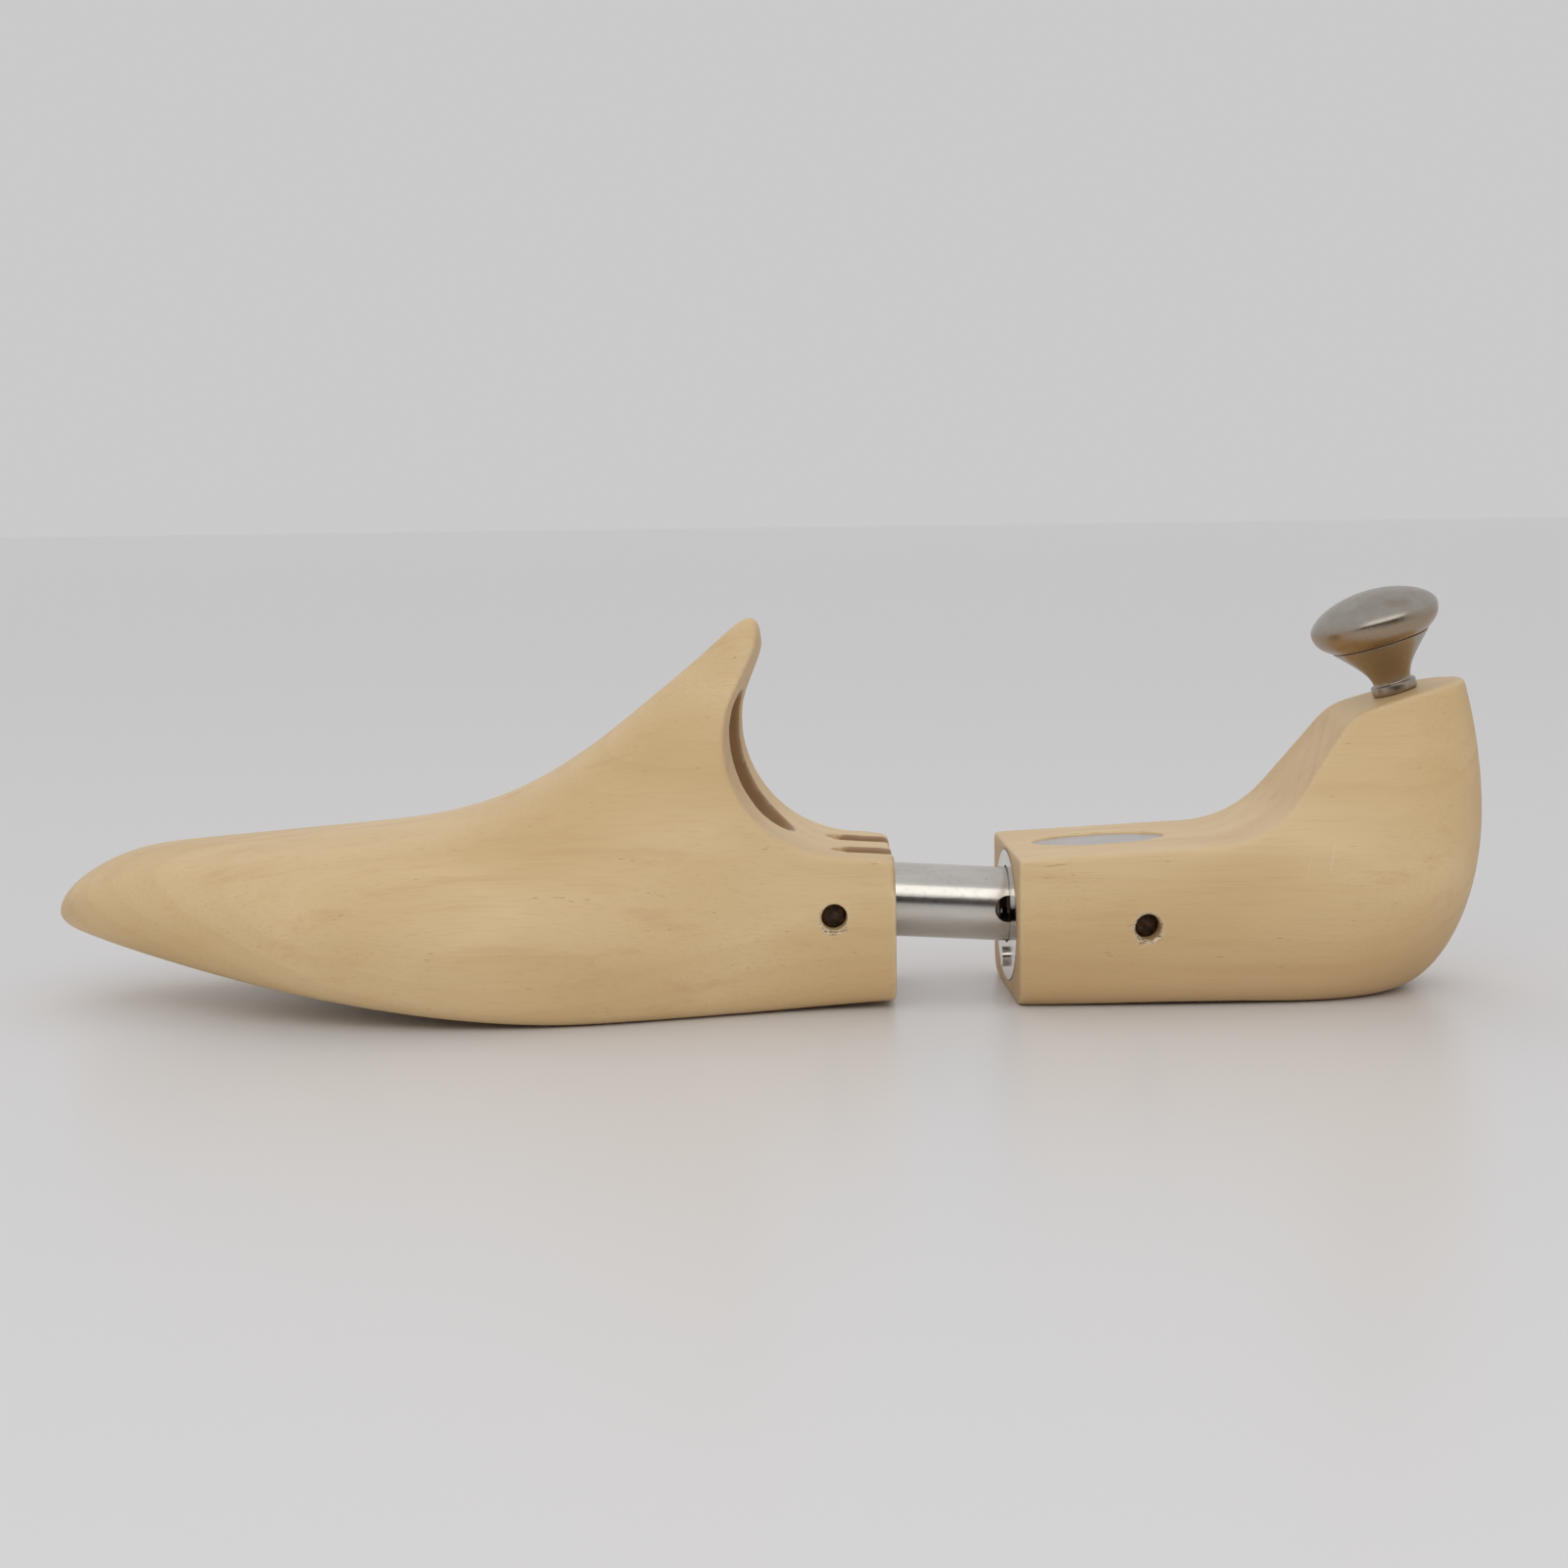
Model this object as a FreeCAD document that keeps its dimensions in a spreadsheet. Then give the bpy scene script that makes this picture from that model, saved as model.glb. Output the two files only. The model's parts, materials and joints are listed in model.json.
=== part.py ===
import FreeCAD, Part
import math
import os
import Sketcher

# Split shoe tree for a left shoe.  +X runs from toe to heel, +Y to the foot's inner side, +Z up.
# The origin is on the surface it stands on, in the middle of the whole.  Millimetres and degrees.

os.makedirs("parts", exist_ok=True)
doc = FreeCAD.newDocument("shoe_tree")
sheet = doc.addObject("Spreadsheet::Sheet", "sizes")
Vec = FreeCAD.Vector

SIZES = [
    # forepart block
    ("fore_length", 180.7, "rear face to toe tip"),
    ("fore_rear_x", 26.6, "place of the forepart's rear face"),
    ("fore_rear_width", 47.0, "width of the block at its rear face"),
    ("ball_outer", 38.6, "reach of the outer side at the ball"),
    ("ball_inner", 38.6, "reach of the inner side at the ball"),
    ("ball_outer_back", 85.0, "rear face to the outer side's widest place"),
    ("ball_inner_back", 107.0, "rear face to the inner side's widest place"),
    ("toe_swing", 12.0, "sideways place of the toe tip"),
    ("toe_lift", 18.6, "height of the toe tip"),
    ("toe_crest", 31.5, "height of the top line where the toe starts to round over"),
    ("toe_sole", 17.0, "height of the underside where the toe starts to round over"),
    ("toe_round", 25.0, "length over which the top line rounds over at the toe"),
    ("toe_breadth", 60.0, "breadth of the forepart where the toe starts to round over"),
    ("toe_plan_round", 60.0, "length over which the toe rounds in plan"),
    ("vamp_height", 39.0, "height of the top line over the ball"),
    ("vamp_back", 107.0, "rear face to the place where the instep starts to rise"),
    ("ridge_height", 83.2, "height of the ridge's peak before its edges are eased"),
    ("ridge_back", 29.8, "rear face to the ridge's peak"),
    ("ridge_pitch", 40.0, "slope of the top line at the peak"),
    ("ridge_lean", 14.0, "backward lean of the ridge's hollow face"),
    ("ridge_curve", 20.0, "radius between that lean and the upright peak"),
    ("waist_back", 33.8, "rear face to the deepest place of the ridge's hollow face"),
    ("scoop_radius", 25.0, "radius of the scoop behind the ridge"),
    ("deck_height", 31.9, "height of the block's top at its rear"),
    ("deck_slope", 4.0, "fall of that top towards the rear"),
    ("scoop_skew", 9.5, "turn of the scoop about the vertical"),
    ("rear_skew", 2.5, "turn of the rear face about the vertical"),
    ("sole_rise", 1.4, "height of the underside at the rear face"),
    ("sole_rise_length", 46.0, "length over which the underside rises to the rear"),
    ("sole_edge", 6.5, "length over which the underside's edges round"),
    ("sole_flat_back", 66.0, "rear face to the place where the toe spring starts"),
    ("sole_power", 1.55, "exponent of the toe spring's curve"),
    # ridge pocket and grooves
    ("pocket_width", 15.5, "width of the ridge pocket"),
    ("pocket_length", 32.0, "length of the ridge pocket"),
    ("pocket_depth", 13.0, "depth of the ridge pocket"),
    ("pocket_centre_back", 27.6, "rear face to the pocket's middle"),
    ("pocket_centre_height", 50.5, "height of the pocket's middle"),
    ("pocket_lean", 20.0, "lean of the pocket from the vertical"),
    ("groove_width", 8.4, "width of each deck groove"),
    ("groove_depth", 3.0, "depth of each deck groove"),
    ("groove_length", 14.0, "rear face to the far end of each groove"),
    ("groove_spacing", 18.0, "distance between the two grooves"),
    # slide tube
    ("tube_diameter", 16.0, "outer diameter of the tube"),
    ("tube_wall", 1.2, "wall of the tube"),
    ("tube_height", 20.25, "height of the tube's axis at the forepart's rear face"),
    ("tube_slope", 3.6, "fall of the tube towards the heel"),
    ("tube_seat", 43.0, "depth of the bore that the tube is pressed into"),
    ("tube_seat_gap", 1.0, "bottom of that bore to the tube's front end"),
    ("tube_reach", 66.0, "length of the tube behind the forepart"),
    ("slot_clearance", 0.4, "tube's cross slot wider than the pin in it"),
    ("slot_start", 21.4, "rear face of the forepart to the slot's front end"),
    ("slide_travel", 21.0, "how far the heel slides towards the forepart"),
    ("bore_spare", 1.5, "tube's rear end to the end of the heel's bore after that travel"),
    ("slide_clearance", 0.08, "radial gap between the tube and the heel's bore"),
    ("seat_clearance", 0.02, "radial gap of pieces pressed into wood"),
    ("plate_clearance", 0.40, "radial gap between the tube and the face plate"),
    # pins
    ("pin_diameter", 5.4, "diameter of both cross pins"),
    ("pin_recess", 2.6, "depth of the pin ends below the wood"),
    ("pin_crown", 0.6, "easing of the pin ends"),
    ("fore_pin_back", 14.0, "rear face of the forepart to its pin"),
    ("fore_pin_drop", 1.0, "pin below the tube's axis"),
    ("heel_pin_back", 27.0, "front face of the heel to its pin"),
    ("pin_tube_gap", 0.05, "radial gap between the forepart's pin and the tube's hole"),
    ("pin_slot_gap", 0.25, "gap between the heel's pin and the end of the slot"),
    # spring
    ("spring_wire", 1.5, "wire of the spring"),
    ("spring_gap", 0.35, "gap between the spring and the tube's bore"),
    ("spring_coils", 17.0, "turns of the spring"),
    ("spring_end_gap", 0.1, "gap between the spring's ends and the pins"),
    # heel block
    ("gap_open", 24.6, "gap between the two wooden faces with the spring extended"),
    ("heel_length", 103.2, "front face to the back of the heel"),
    ("heel_front_width", 47.5, "width of the heel at its front face"),
    ("heel_width", 52.0, "greatest width of the heel"),
    ("heel_top_width", 24.0, "width of the heel at its top"),
    ("heel_top_height", 70.0, "height at which the heel's sides stop narrowing"),
    ("heel_bulge_height", 38.0, "height of the heel's furthest point back"),
    ("heel_sole_back", 21.0, "length of the rounding under the heel's back"),
    ("heel_top_back", 5.0, "heel's top corner, forward of its furthest point back"),
    ("heel_deck_front", 31.6, "height of the deck at the front face"),
    ("heel_deck_slope", 2.6, "rise of the deck towards the back"),
    ("heel_deck_length", 42.6, "length of the flat deck"),
    ("heel_sole_hollow", 0.6, "depth of the hollow under the heel"),
    ("heel_hollow_length", 66.0, "length of that hollow"),
    ("heel_hollow_back", 36.0, "front face to the middle of that hollow"),
    ("heel_sole_edge", 5.5, "rounding of the heel's underside edges"),
    ("ramp_slope", 53.0, "slope of the ramp between the deck and the seat"),
    ("ramp_curve", 22.5, "radius between the deck and the ramp"),
    ("seat_curve", 12.0, "radius between the ramp and the knob's seat"),
    ("seat_slope", 17.0, "rise of the knob's seat towards the back"),
    ("seat_crown", 90.0, "radius of the seat behind the knob's axis"),
    ("seat_height", 63.5, "height of the seat at the knob's axis"),
    # face plate, its screw, nameplate
    ("plate_height", 28.0, "height of the oval face plate"),
    ("plate_width", 38.0, "width of the oval face plate"),
    ("plate_thickness", 1.2, "thickness of the face plate"),
    ("plate_centre", 16.4, "height of the face plate's middle"),
    ("inlay_clearance", 0.1, "gap round each inlaid plate"),
    ("plate_screw_gap", 1.3, "tube to the head of the face plate's screw"),
    ("screw_head_diameter", 4.4, "diameter of that screw's head"),
    ("screw_head_height", 1.0, "height of that screw's head"),
    ("screw_shank_diameter", 2.2, "diameter of that screw's shank"),
    ("screw_length", 12.0, "length of that screw"),
    ("screw_spare", 2.0, "screw's tip to the bottom of its hole"),
    ("name_length", 28.6, "length of the oval nameplate"),
    ("name_width", 18.6, "width of the oval nameplate"),
    ("name_thickness", 0.7, "thickness of the nameplate"),
    ("name_rim", 0.2, "easing of the nameplate's rim"),
    ("name_sink", 0.5, "depth of the nameplate's face below the wood"),
    ("name_back", 20.2, "front face of the heel to the nameplate's middle"),
    ("name_offset", 2.0, "nameplate's middle towards the inner side"),
    # knob
    ("knob_back", 84.7, "front face of the heel to the knob's axis at the wood"),
    ("collar_diameter", 9.8, "diameter of the collar"),
    ("collar_height", 2.2, "height of the collar"),
    ("neck_diameter", 8.2, "least diameter of the neck"),
    ("neck_height", 9.4, "collar to the seam"),
    ("neck_curve", 9.5, "radius of the neck's hollow profile"),
    ("seam_diameter", 21.2, "diameter at the seam between neck and cap"),
    ("cap_diameter", 28.4, "diameter of the knob's rim"),
    ("cap_under", 4.2, "seam to the rim"),
    ("cap_under_curve", 11.0, "radius of the profile between seam and rim"),
    ("rim_radius", 1.5, "radius of the rim"),
    ("cap_dome", 5.4, "rise of the dome above the rim"),
    ("stud_diameter", 5.0, "diameter of the knob's stud"),
    ("stud_in_wood", 20.0, "length of the stud in the wood"),
    ("stud_in_neck", 9.0, "length of the stud above the wood"),
    ("stud_spare", 1.0, "stud's lower end to the bottom of its hole"),
    ("neck_spare", 0.5, "stud's upper end to the bottom of the neck's hole"),
]

for row, (alias, value, note) in enumerate(SIZES, start=1):
    sheet.set("A%d" % row, note)
    sheet.set("B%d" % row, str(value))
    sheet.setAlias("B%d" % row, alias)
doc.recompute()


def size(alias):
    """The sheet's value of one named size."""
    return float(sheet.get(alias))


def ease(place, knots):
    """A smooth value at a place along knots of (place, value), level at each knot."""
    if place <= knots[0][0]:
        return knots[0][1]
    for (start, low), (end, high) in zip(knots, knots[1:]):
        if place <= end:
            turn = math.pi * (place - start) / (end - start)
            return low + (high - low) * (1.0 - math.cos(turn)) / 2.0
    return knots[-1][1]


def rounding(distance, length):
    """Share of the full size at a distance from a rounded end of that length, as on an ellipse."""
    left = max(0.0, 1.0 - distance / length)
    return math.sqrt(1.0 - left * left)


def bezier(*poles):
    """An edge on the Bezier curve with these poles."""
    curve = Part.BezierCurve()
    curve.setPoles([Vec(*pole) for pole in poles])
    return curve.toShape()


def rotated(angle, length=1.0):
    """A vector in the X-Z plane, turned up from +X."""
    turn = math.radians(angle)
    return Vec(length * math.cos(turn), 0.0, length * math.sin(turn))


# ---------------------------------------------------------------- places shared by the pieces

FORE_X = size("fore_rear_x")
HEEL_X = FORE_X + size("gap_open")
AXIS_START = Vec(FORE_X, 0.0, size("tube_height"))
AXIS_WAY = rotated(-size("tube_slope"))
TUBE_RADIUS = size("tube_diameter") / 2.0
LENGTHWAYS = FreeCAD.Rotation(Vec(0, 1, 0), 90.0 + size("tube_slope"))
WIDE = 60.0


def on_axis(back):
    """Point on the tube's axis at a distance behind the forepart's rear face."""
    return AXIS_START + AXIS_WAY * (back / math.cos(math.radians(size("tube_slope"))))


def axis_cylinder(radius, start, end):
    """Solid round the tube's axis between two distances behind the forepart's rear face."""
    foot = on_axis(start)
    return Part.makeCylinder(radius, (on_axis(end) - foot).Length, foot, AXIS_WAY)


def cross_hole(radius, centre):
    """Solid along Y through the whole width at one centre."""
    return Part.makeCylinder(radius, 2.0 * WIDE, centre - Vec(0, WIDE, 0), Vec(0, 1, 0))


FORE_PIN = on_axis(-size("fore_pin_back")) - Vec(0, 0, size("fore_pin_drop"))
HEEL_PIN_BACK = size("gap_open") + size("heel_pin_back")
HEEL_PIN = on_axis(HEEL_PIN_BACK)
PIN_RADIUS = size("pin_diameter") / 2.0


# ---------------------------------------------------------------- forepart block

# Shares of the sections at the rear face, at the ball or the ridge, and at the toe or the vamp.
BALL_STATIONS = (0.0, size("ball_outer_back"), size("fore_length"))
RIDGE_STATIONS = (0.0, size("ridge_back"), size("vamp_back"))
WIDEST_SHARES = (0.36, 0.27, 0.42)
SIDE_SHARES = (0.75, 0.88, 0.60)
CORNER_SHARES = (0.80, 0.90, 0.60)
STEEP_SHARES = (0.36, 0.08, 0.55)
CROWN_SHARES = (0.40, 0.40, 0.60)
LEAST_TREAD = 0.55
# How much of the peak's slope goes on behind it.
PEAK_RUN_OUT = 0.3
# How far each end of the instep's curve holds its slope.
INSTEP_HOLD = 0.42
# The underside rounds into the toe's tip over this share of the top line's rounding.
TOE_SOLE_SHARE = 0.25
# Places of the sections as shares of the forepart's length, closer where the toe rounds over.
FORE_PLACES = [0.0, 0.067, 0.122, 0.167, 0.211, 0.267, 0.333, 0.4, 0.467, 0.533, 0.6, 0.667, 0.733,
               0.8, 0.856, 0.9, 0.933, 0.961, 0.981, 0.992, 0.9983, 0.9998]
# Length of body beyond the skewed rear face that the trim takes off.
REAR_TRIM = 0.5
# Steps of the search along the instep's curve.
HALVINGS = 40


def crest_height(back):
    """Height of the forepart's top line at a distance in front of its rear face."""
    peak = size("ridge_back")
    vamp = size("vamp_back")
    pitch = math.tan(math.radians(size("ridge_pitch")))
    if back <= peak:
        return size("ridge_height") + (peak - back) * pitch * PEAK_RUN_OUT
    if back >= vamp:
        share = (back - vamp) / (size("fore_length") - vamp)
        crest = size("vamp_height") + share * (size("toe_crest") - size("vamp_height"))
        full = rounding(size("fore_length") - back, size("toe_round"))
        return size("toe_lift") + (crest - size("toe_lift")) * full
    reach = (vamp - peak) * INSTEP_HOLD
    fall = (size("toe_crest") - size("vamp_height")) / (size("fore_length") - vamp)
    curve = Part.BezierCurve()
    curve.setPoles([Vec(vamp, 0, size("vamp_height")),
                    Vec(vamp - reach, 0, size("vamp_height") - reach * fall),
                    Vec(peak + reach, 0, size("ridge_height") - reach * pitch),
                    Vec(peak, 0, size("ridge_height"))])
    low = 0.0
    high = 1.0
    for _ in range(HALVINGS):
        middle = (low + high) / 2.0
        if curve.value(middle).x > back:
            low = middle
        else:
            high = middle
    return curve.value(low).z


def sole_height(back):
    """Height of the forepart's underside at a distance in front of its rear face."""
    if back < size("sole_rise_length"):
        return size("sole_rise") * (1.0 - back / size("sole_rise_length")) ** 2
    spring = max(0.0, back - size("sole_flat_back")) / (size("fore_length") - size("sole_flat_back"))
    sole = size("toe_sole") * spring ** size("sole_power")
    full = rounding(size("fore_length") - back, size("toe_round") * TOE_SOLE_SHARE)
    return size("toe_lift") + (sole - size("toe_lift")) * full


def fore_section(back):
    """Closed outline across the forepart: tread, sole edge and flank on each side."""
    length = size("fore_length")
    half_rear = size("fore_rear_width") / 2.0
    half_toe = size("toe_breadth") / 2.0
    outer = ease(back, [(0, half_rear), (size("ball_outer_back"), size("ball_outer")),
                        (length, half_toe - size("toe_swing"))])
    inner = ease(back, [(0, half_rear), (size("ball_inner_back"), size("ball_inner")),
                        (length, half_toe + size("toe_swing"))])
    full = rounding(length - back, size("toe_plan_round"))
    half = (outer + inner) / 2.0 * full
    middle = (inner - outer) / 2.0
    top = crest_height(back)
    sole = sole_height(back)
    girth = min(top, size("vamp_height")) - sole
    widest = sole + girth * ease(back, list(zip(BALL_STATIONS, WIDEST_SHARES)))
    side = ease(back, list(zip(BALL_STATIONS, SIDE_SHARES)))
    corner = ease(back, list(zip(BALL_STATIONS, CORNER_SHARES)))
    steep = ease(back, list(zip(RIDGE_STATIONS, STEEP_SHARES)))
    crown = ease(back, list(zip(RIDGE_STATIONS, CROWN_SHARES)))
    tread = max(half - size("sole_edge"), LEAST_TREAD * half)
    x = FORE_X - back

    def side_edges(sign):
        """Edges on one side: the tread, the rounded sole edge and the flank up to the top line."""
        edge = middle + sign * half
        flank = [(x, edge, widest), (x, edge, widest + steep * (top - widest)),
                 (x, middle + sign * crown * half, top), (x, middle, top)]
        inside = middle + sign * tread
        under = [(x, inside, sole), (x, inside + corner * (edge - inside), sole),
                 (x, edge, widest - side * (widest - sole)), (x, edge, widest)]
        return [(x, middle, sole), (x, inside, sole)], under, flank

    tread_outer, under_outer, flank_outer = side_edges(-1.0)
    tread_inner, under_inner, flank_inner = side_edges(1.0)
    return Part.Wire([bezier(*tread_outer), bezier(*under_outer), bezier(*flank_outer),
                      bezier(*flank_inner[::-1]), bezier(*under_inner[::-1]),
                      bezier(*tread_inner[::-1])])


def fore_scoop():
    """Solid that clears everything behind the ridge and above the deck."""
    radius = size("scoop_radius")
    slope = math.tan(math.radians(size("deck_slope")))
    centre_x = FORE_X - size("waist_back") + radius
    deck_at_centre = size("deck_height") + (FORE_X - centre_x) * slope
    centre = Vec(centre_x, 0, deck_at_centre + radius / math.cos(math.radians(size("deck_slope"))))
    lean = size("ridge_lean")
    upper = centre + rotated(180.0 - lean, radius)
    lower = centre + rotated(270.0 - size("deck_slope"), radius)
    between = centre + rotated((450.0 - lean - size("deck_slope")) / 2.0, radius)
    peak_x = FORE_X - size("ridge_back")
    bend = size("ridge_curve")
    bend_start_x = peak_x - bend * (1.0 - math.cos(math.radians(lean)))
    along = (bend_start_x - upper.x) / math.sin(math.radians(lean))
    bend_start = upper + rotated(90.0 - lean, along)
    bend_centre = bend_start - rotated(-lean, bend)
    bend_end = bend_centre + rotated(0.0, bend)
    bend_middle = bend_centre + rotated(-lean / 2.0, bend)
    far_top = Vec(FORE_X + WIDE, 0, size("ridge_height") + WIDE)
    deck_run = (far_top.x - lower.x) / math.cos(math.radians(size("deck_slope")))
    far_low = lower + rotated(-size("deck_slope"), deck_run)
    near_top = Vec(bend_end.x, 0, far_top.z)
    edges = [Part.makeLine(near_top, bend_end), Part.Arc(bend_end, bend_middle, bend_start).toShape(),
             Part.makeLine(bend_start, upper), Part.Arc(upper, between, lower).toShape(),
             Part.makeLine(lower, far_low), Part.makeLine(far_low, far_top),
             Part.makeLine(far_top, near_top)]
    profile = Part.Face(Part.Wire(edges))
    skew = math.tan(math.radians(size("scoop_skew")))
    profile.translate(Vec(-WIDE * skew, -WIDE, 0))
    return profile.extrude(Vec(2.0 * WIDE * skew, 2.0 * WIDE, 0))


def rear_trim():
    """Solid that trims the rear face to its slight turn about the vertical."""
    block = Part.makeBox(WIDE, 2.0 * WIDE, 2.0 * WIDE, Vec(0, -WIDE, -WIDE / 2.0))
    block.rotate(Vec(0, 0, 0), Vec(0, 0, 1), -size("rear_skew"))
    block.translate(Vec(FORE_X, 0, 0))
    return block


def stadium(width, length, depth):
    """Solid with a long round-ended outline in X-Y, standing on the X-Y plane."""
    straight = length - width
    block = Part.makeBox(width, straight, depth, Vec(-width / 2.0, -straight / 2.0, 0))
    ends = [Part.makeCylinder(width / 2.0, depth, Vec(0, place, 0))
            for place in (-straight / 2.0, straight / 2.0)]
    return block.fuse(ends).removeSplitter()


def ridge_pocket():
    """Solid of the pocket that is milled into the ridge's hollow face."""
    cutter = stadium(size("pocket_width"), size("pocket_length"), size("pocket_depth") + WIDE / 2.0)
    cutter.translate(Vec(0, 0, -WIDE / 2.0))
    lean = size("pocket_lean")
    inward = rotated(180.0 + lean)
    along = rotated(90.0 + lean)
    across = along.cross(inward)
    turn = FreeCAD.Matrix(across.x, along.x, inward.x, 0, across.y, along.y, inward.y, 0,
                          across.z, along.z, inward.z, 0, 0, 0, 0, 1)
    cutter = cutter.transformGeometry(turn)
    cutter.rotate(Vec(0, 0, 0), Vec(0, 0, 1), -size("scoop_skew"))
    cutter.translate(Vec(FORE_X - size("pocket_centre_back"), 0, size("pocket_centre_height")))
    return cutter


def deck_grooves():
    """Solids of the two round-ended grooves that run out through the rear face."""
    grooves = []
    for side in (-1.0, 1.0):
        length = size("groove_length") + size("groove_width")
        cutter = stadium(size("groove_width"), 2.0 * length, WIDE)
        cutter.rotate(Vec(0, 0, 0), Vec(0, 0, 1), 90.0)
        cutter.rotate(Vec(0, 0, 0), Vec(0, 1, 0), size("deck_slope"))
        start = FORE_X - size("groove_length") + length
        cutter.translate(Vec(start, side * size("groove_spacing") / 2.0, 0))
        deck = size("deck_height") - (start - FORE_X) * math.tan(math.radians(size("deck_slope")))
        cutter.translate(Vec(0, 0, deck - size("groove_depth")))
        grooves.append(cutter)
    return grooves


def forepart_block():
    """Wooden forepart: carved body, scoop, pocket, grooves, tube bore and pin hole."""
    skewed = size("fore_rear_width") / 2.0 * math.tan(math.radians(size("rear_skew")))
    backs = [-skewed - REAR_TRIM] + [share * size("fore_length") for share in FORE_PLACES]
    body = Part.makeLoft([fore_section(back) for back in backs], True, False)
    bore = axis_cylinder(TUBE_RADIUS + size("seat_clearance"), -size("tube_seat"), WIDE)
    pin_hole = cross_hole(PIN_RADIUS + size("seat_clearance"), FORE_PIN)
    cutters = [fore_scoop(), rear_trim(), ridge_pocket(), bore, pin_hole] + deck_grooves()
    return body.cut(cutters).Solids[0]


# ---------------------------------------------------------------- heel block

# The sides start to narrow at this share of the bulge's height.
NARROWING = 0.55
# Plan outline: where the sides turn round, where the belly lies, how long each end holds its way.
TURN_SHARE = 1.3
BELLY_SHARE = 0.6
BELLY_HOLD = 14.0
TURN_HOLD = 10.0
ROUND_HOLD = 0.58
# Places of the sections as shares of the carved height, closer under the rounded sole edge.
HEEL_PLACES = [0.0, 0.006, 0.02, 0.042, 0.075, 0.12, 0.19, 0.28, 0.38, 0.48, 0.58, 0.69, 0.8, 0.9, 1.0]
HEEL_SPARE_HEIGHT = 8.0
# Sweep of the seat's crowned part and the deck's run in front of the heel, for the cutter.
CROWN_SWEEP = 20.0
DECK_RUN = 10.0
# Height of the cutters of the inlaid plates.
INLAY_CUT = 10.0


def heel_section(height):
    """Closed plan outline of the heel block at one height."""
    bulge = size("heel_bulge_height")
    length = size("heel_length")
    if height < bulge:
        under = 1.0 - math.sqrt(max(0.0, 1.0 - ((bulge - height) / bulge) ** 2))
        length -= size("heel_sole_back") * under
    else:
        length -= size("heel_top_back") * ((height - bulge) / (size("heel_top_height") - bulge)) ** 2
    edge = size("heel_sole_edge")
    tuck = edge * (1.0 - rounding(height, edge)) if height < edge else 0.0
    share = ease(height, [(NARROWING * bulge, 1.0), (size("heel_top_height"), 0.0)])
    half = share * size("heel_width") / 2.0 + (1.0 - share) * size("heel_top_width") / 2.0 - tuck
    front = min(half, size("heel_front_width") / 2.0 - tuck)
    back = HEEL_X + length
    turn = back - TURN_SHARE * half
    belly = HEEL_X + BELLY_SHARE * (turn - HEEL_X)
    left = [(HEEL_X, -front, height), (belly - BELLY_HOLD, -half, height),
            (turn - TURN_HOLD, -half, height), (turn, -half, height)]
    round_left = [(turn, -half, height), (turn + ROUND_HOLD * (back - turn), -half, height),
                  (back, -ROUND_HOLD * half, height), (back, 0, height)]

    def mirror(poles):
        return [(x, -y, z) for x, y, z in poles[::-1]]

    front_line = Part.makeLine(Vec(HEEL_X, front, height), Vec(HEEL_X, -front, height))
    return Part.Wire([front_line, bezier(*left), bezier(*round_left),
                      bezier(*mirror(round_left)), bezier(*mirror(left))])


def deck_point(back):
    """Point on the heel's flat deck at a distance behind its front face."""
    rise = back * math.tan(math.radians(size("heel_deck_slope")))
    return Vec(HEEL_X + back, 0, size("heel_deck_front") + rise)


SEAT = Vec(HEEL_X + size("knob_back"), 0, size("seat_height"))


def heel_scoop():
    """Solid that clears everything above the deck, the ramp and the knob's seat."""
    deck = size("heel_deck_slope")
    ramp = size("ramp_slope")
    seat = size("seat_slope")
    start = deck_point(size("heel_deck_length"))
    low_centre = start + rotated(90.0 + deck, size("ramp_curve"))
    ramp_start = low_centre + rotated(ramp - 90.0, size("ramp_curve"))
    low_middle = low_centre + rotated((ramp + deck) / 2.0 - 90.0, size("ramp_curve"))
    rise = math.tan(math.radians(ramp))
    tilt = math.tan(math.radians(seat))
    corner_x = (SEAT.z - tilt * SEAT.x - ramp_start.z + rise * ramp_start.x) / (rise - tilt)
    corner = Vec(corner_x, 0, SEAT.z + (corner_x - SEAT.x) * tilt)
    tangent = size("seat_curve") * math.tan(math.radians((ramp - seat) / 2.0))
    ramp_end = corner - rotated(ramp, tangent)
    seat_start = corner + rotated(seat, tangent)
    high_centre = ramp_end + rotated(ramp - 90.0, size("seat_curve"))
    high_middle = high_centre + rotated(90.0 + (ramp + seat) / 2.0, size("seat_curve"))
    front = deck_point(-DECK_RUN)
    crown = size("seat_crown")
    crown_centre = SEAT + rotated(seat - 90.0, crown)
    seat_middle = crown_centre + rotated(seat + 90.0 - CROWN_SWEEP / 2.0, crown)
    seat_end = crown_centre + rotated(seat + 90.0 - CROWN_SWEEP, crown)
    roof = size("heel_top_height") + WIDE
    corners = [Vec(seat_end.x, 0, roof), Vec(front.x, 0, roof)]
    edges = [Part.makeLine(front, start), Part.Arc(start, low_middle, ramp_start).toShape(),
             Part.makeLine(ramp_start, ramp_end), Part.Arc(ramp_end, high_middle, seat_start).toShape(),
             Part.makeLine(seat_start, SEAT), Part.Arc(SEAT, seat_middle, seat_end).toShape(),
             Part.makeLine(seat_end, corners[0]),
             Part.makeLine(corners[0], corners[1]), Part.makeLine(corners[1], front)]
    profile = Part.Face(Part.Wire(edges))
    profile.translate(Vec(0, -WIDE, 0))
    return profile.extrude(Vec(0, 2.0 * WIDE, 0))


def sole_hollow():
    """Solid of the shallow hollow under the heel."""
    half = size("heel_hollow_length") / 2.0
    depth = size("heel_sole_hollow")
    radius = (half * half + depth * depth) / (2.0 * depth)
    centre = Vec(HEEL_X + size("heel_hollow_back"), -WIDE, depth - radius)
    return Part.makeCylinder(radius, 2.0 * WIDE, centre, Vec(0, 1, 0))


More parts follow.
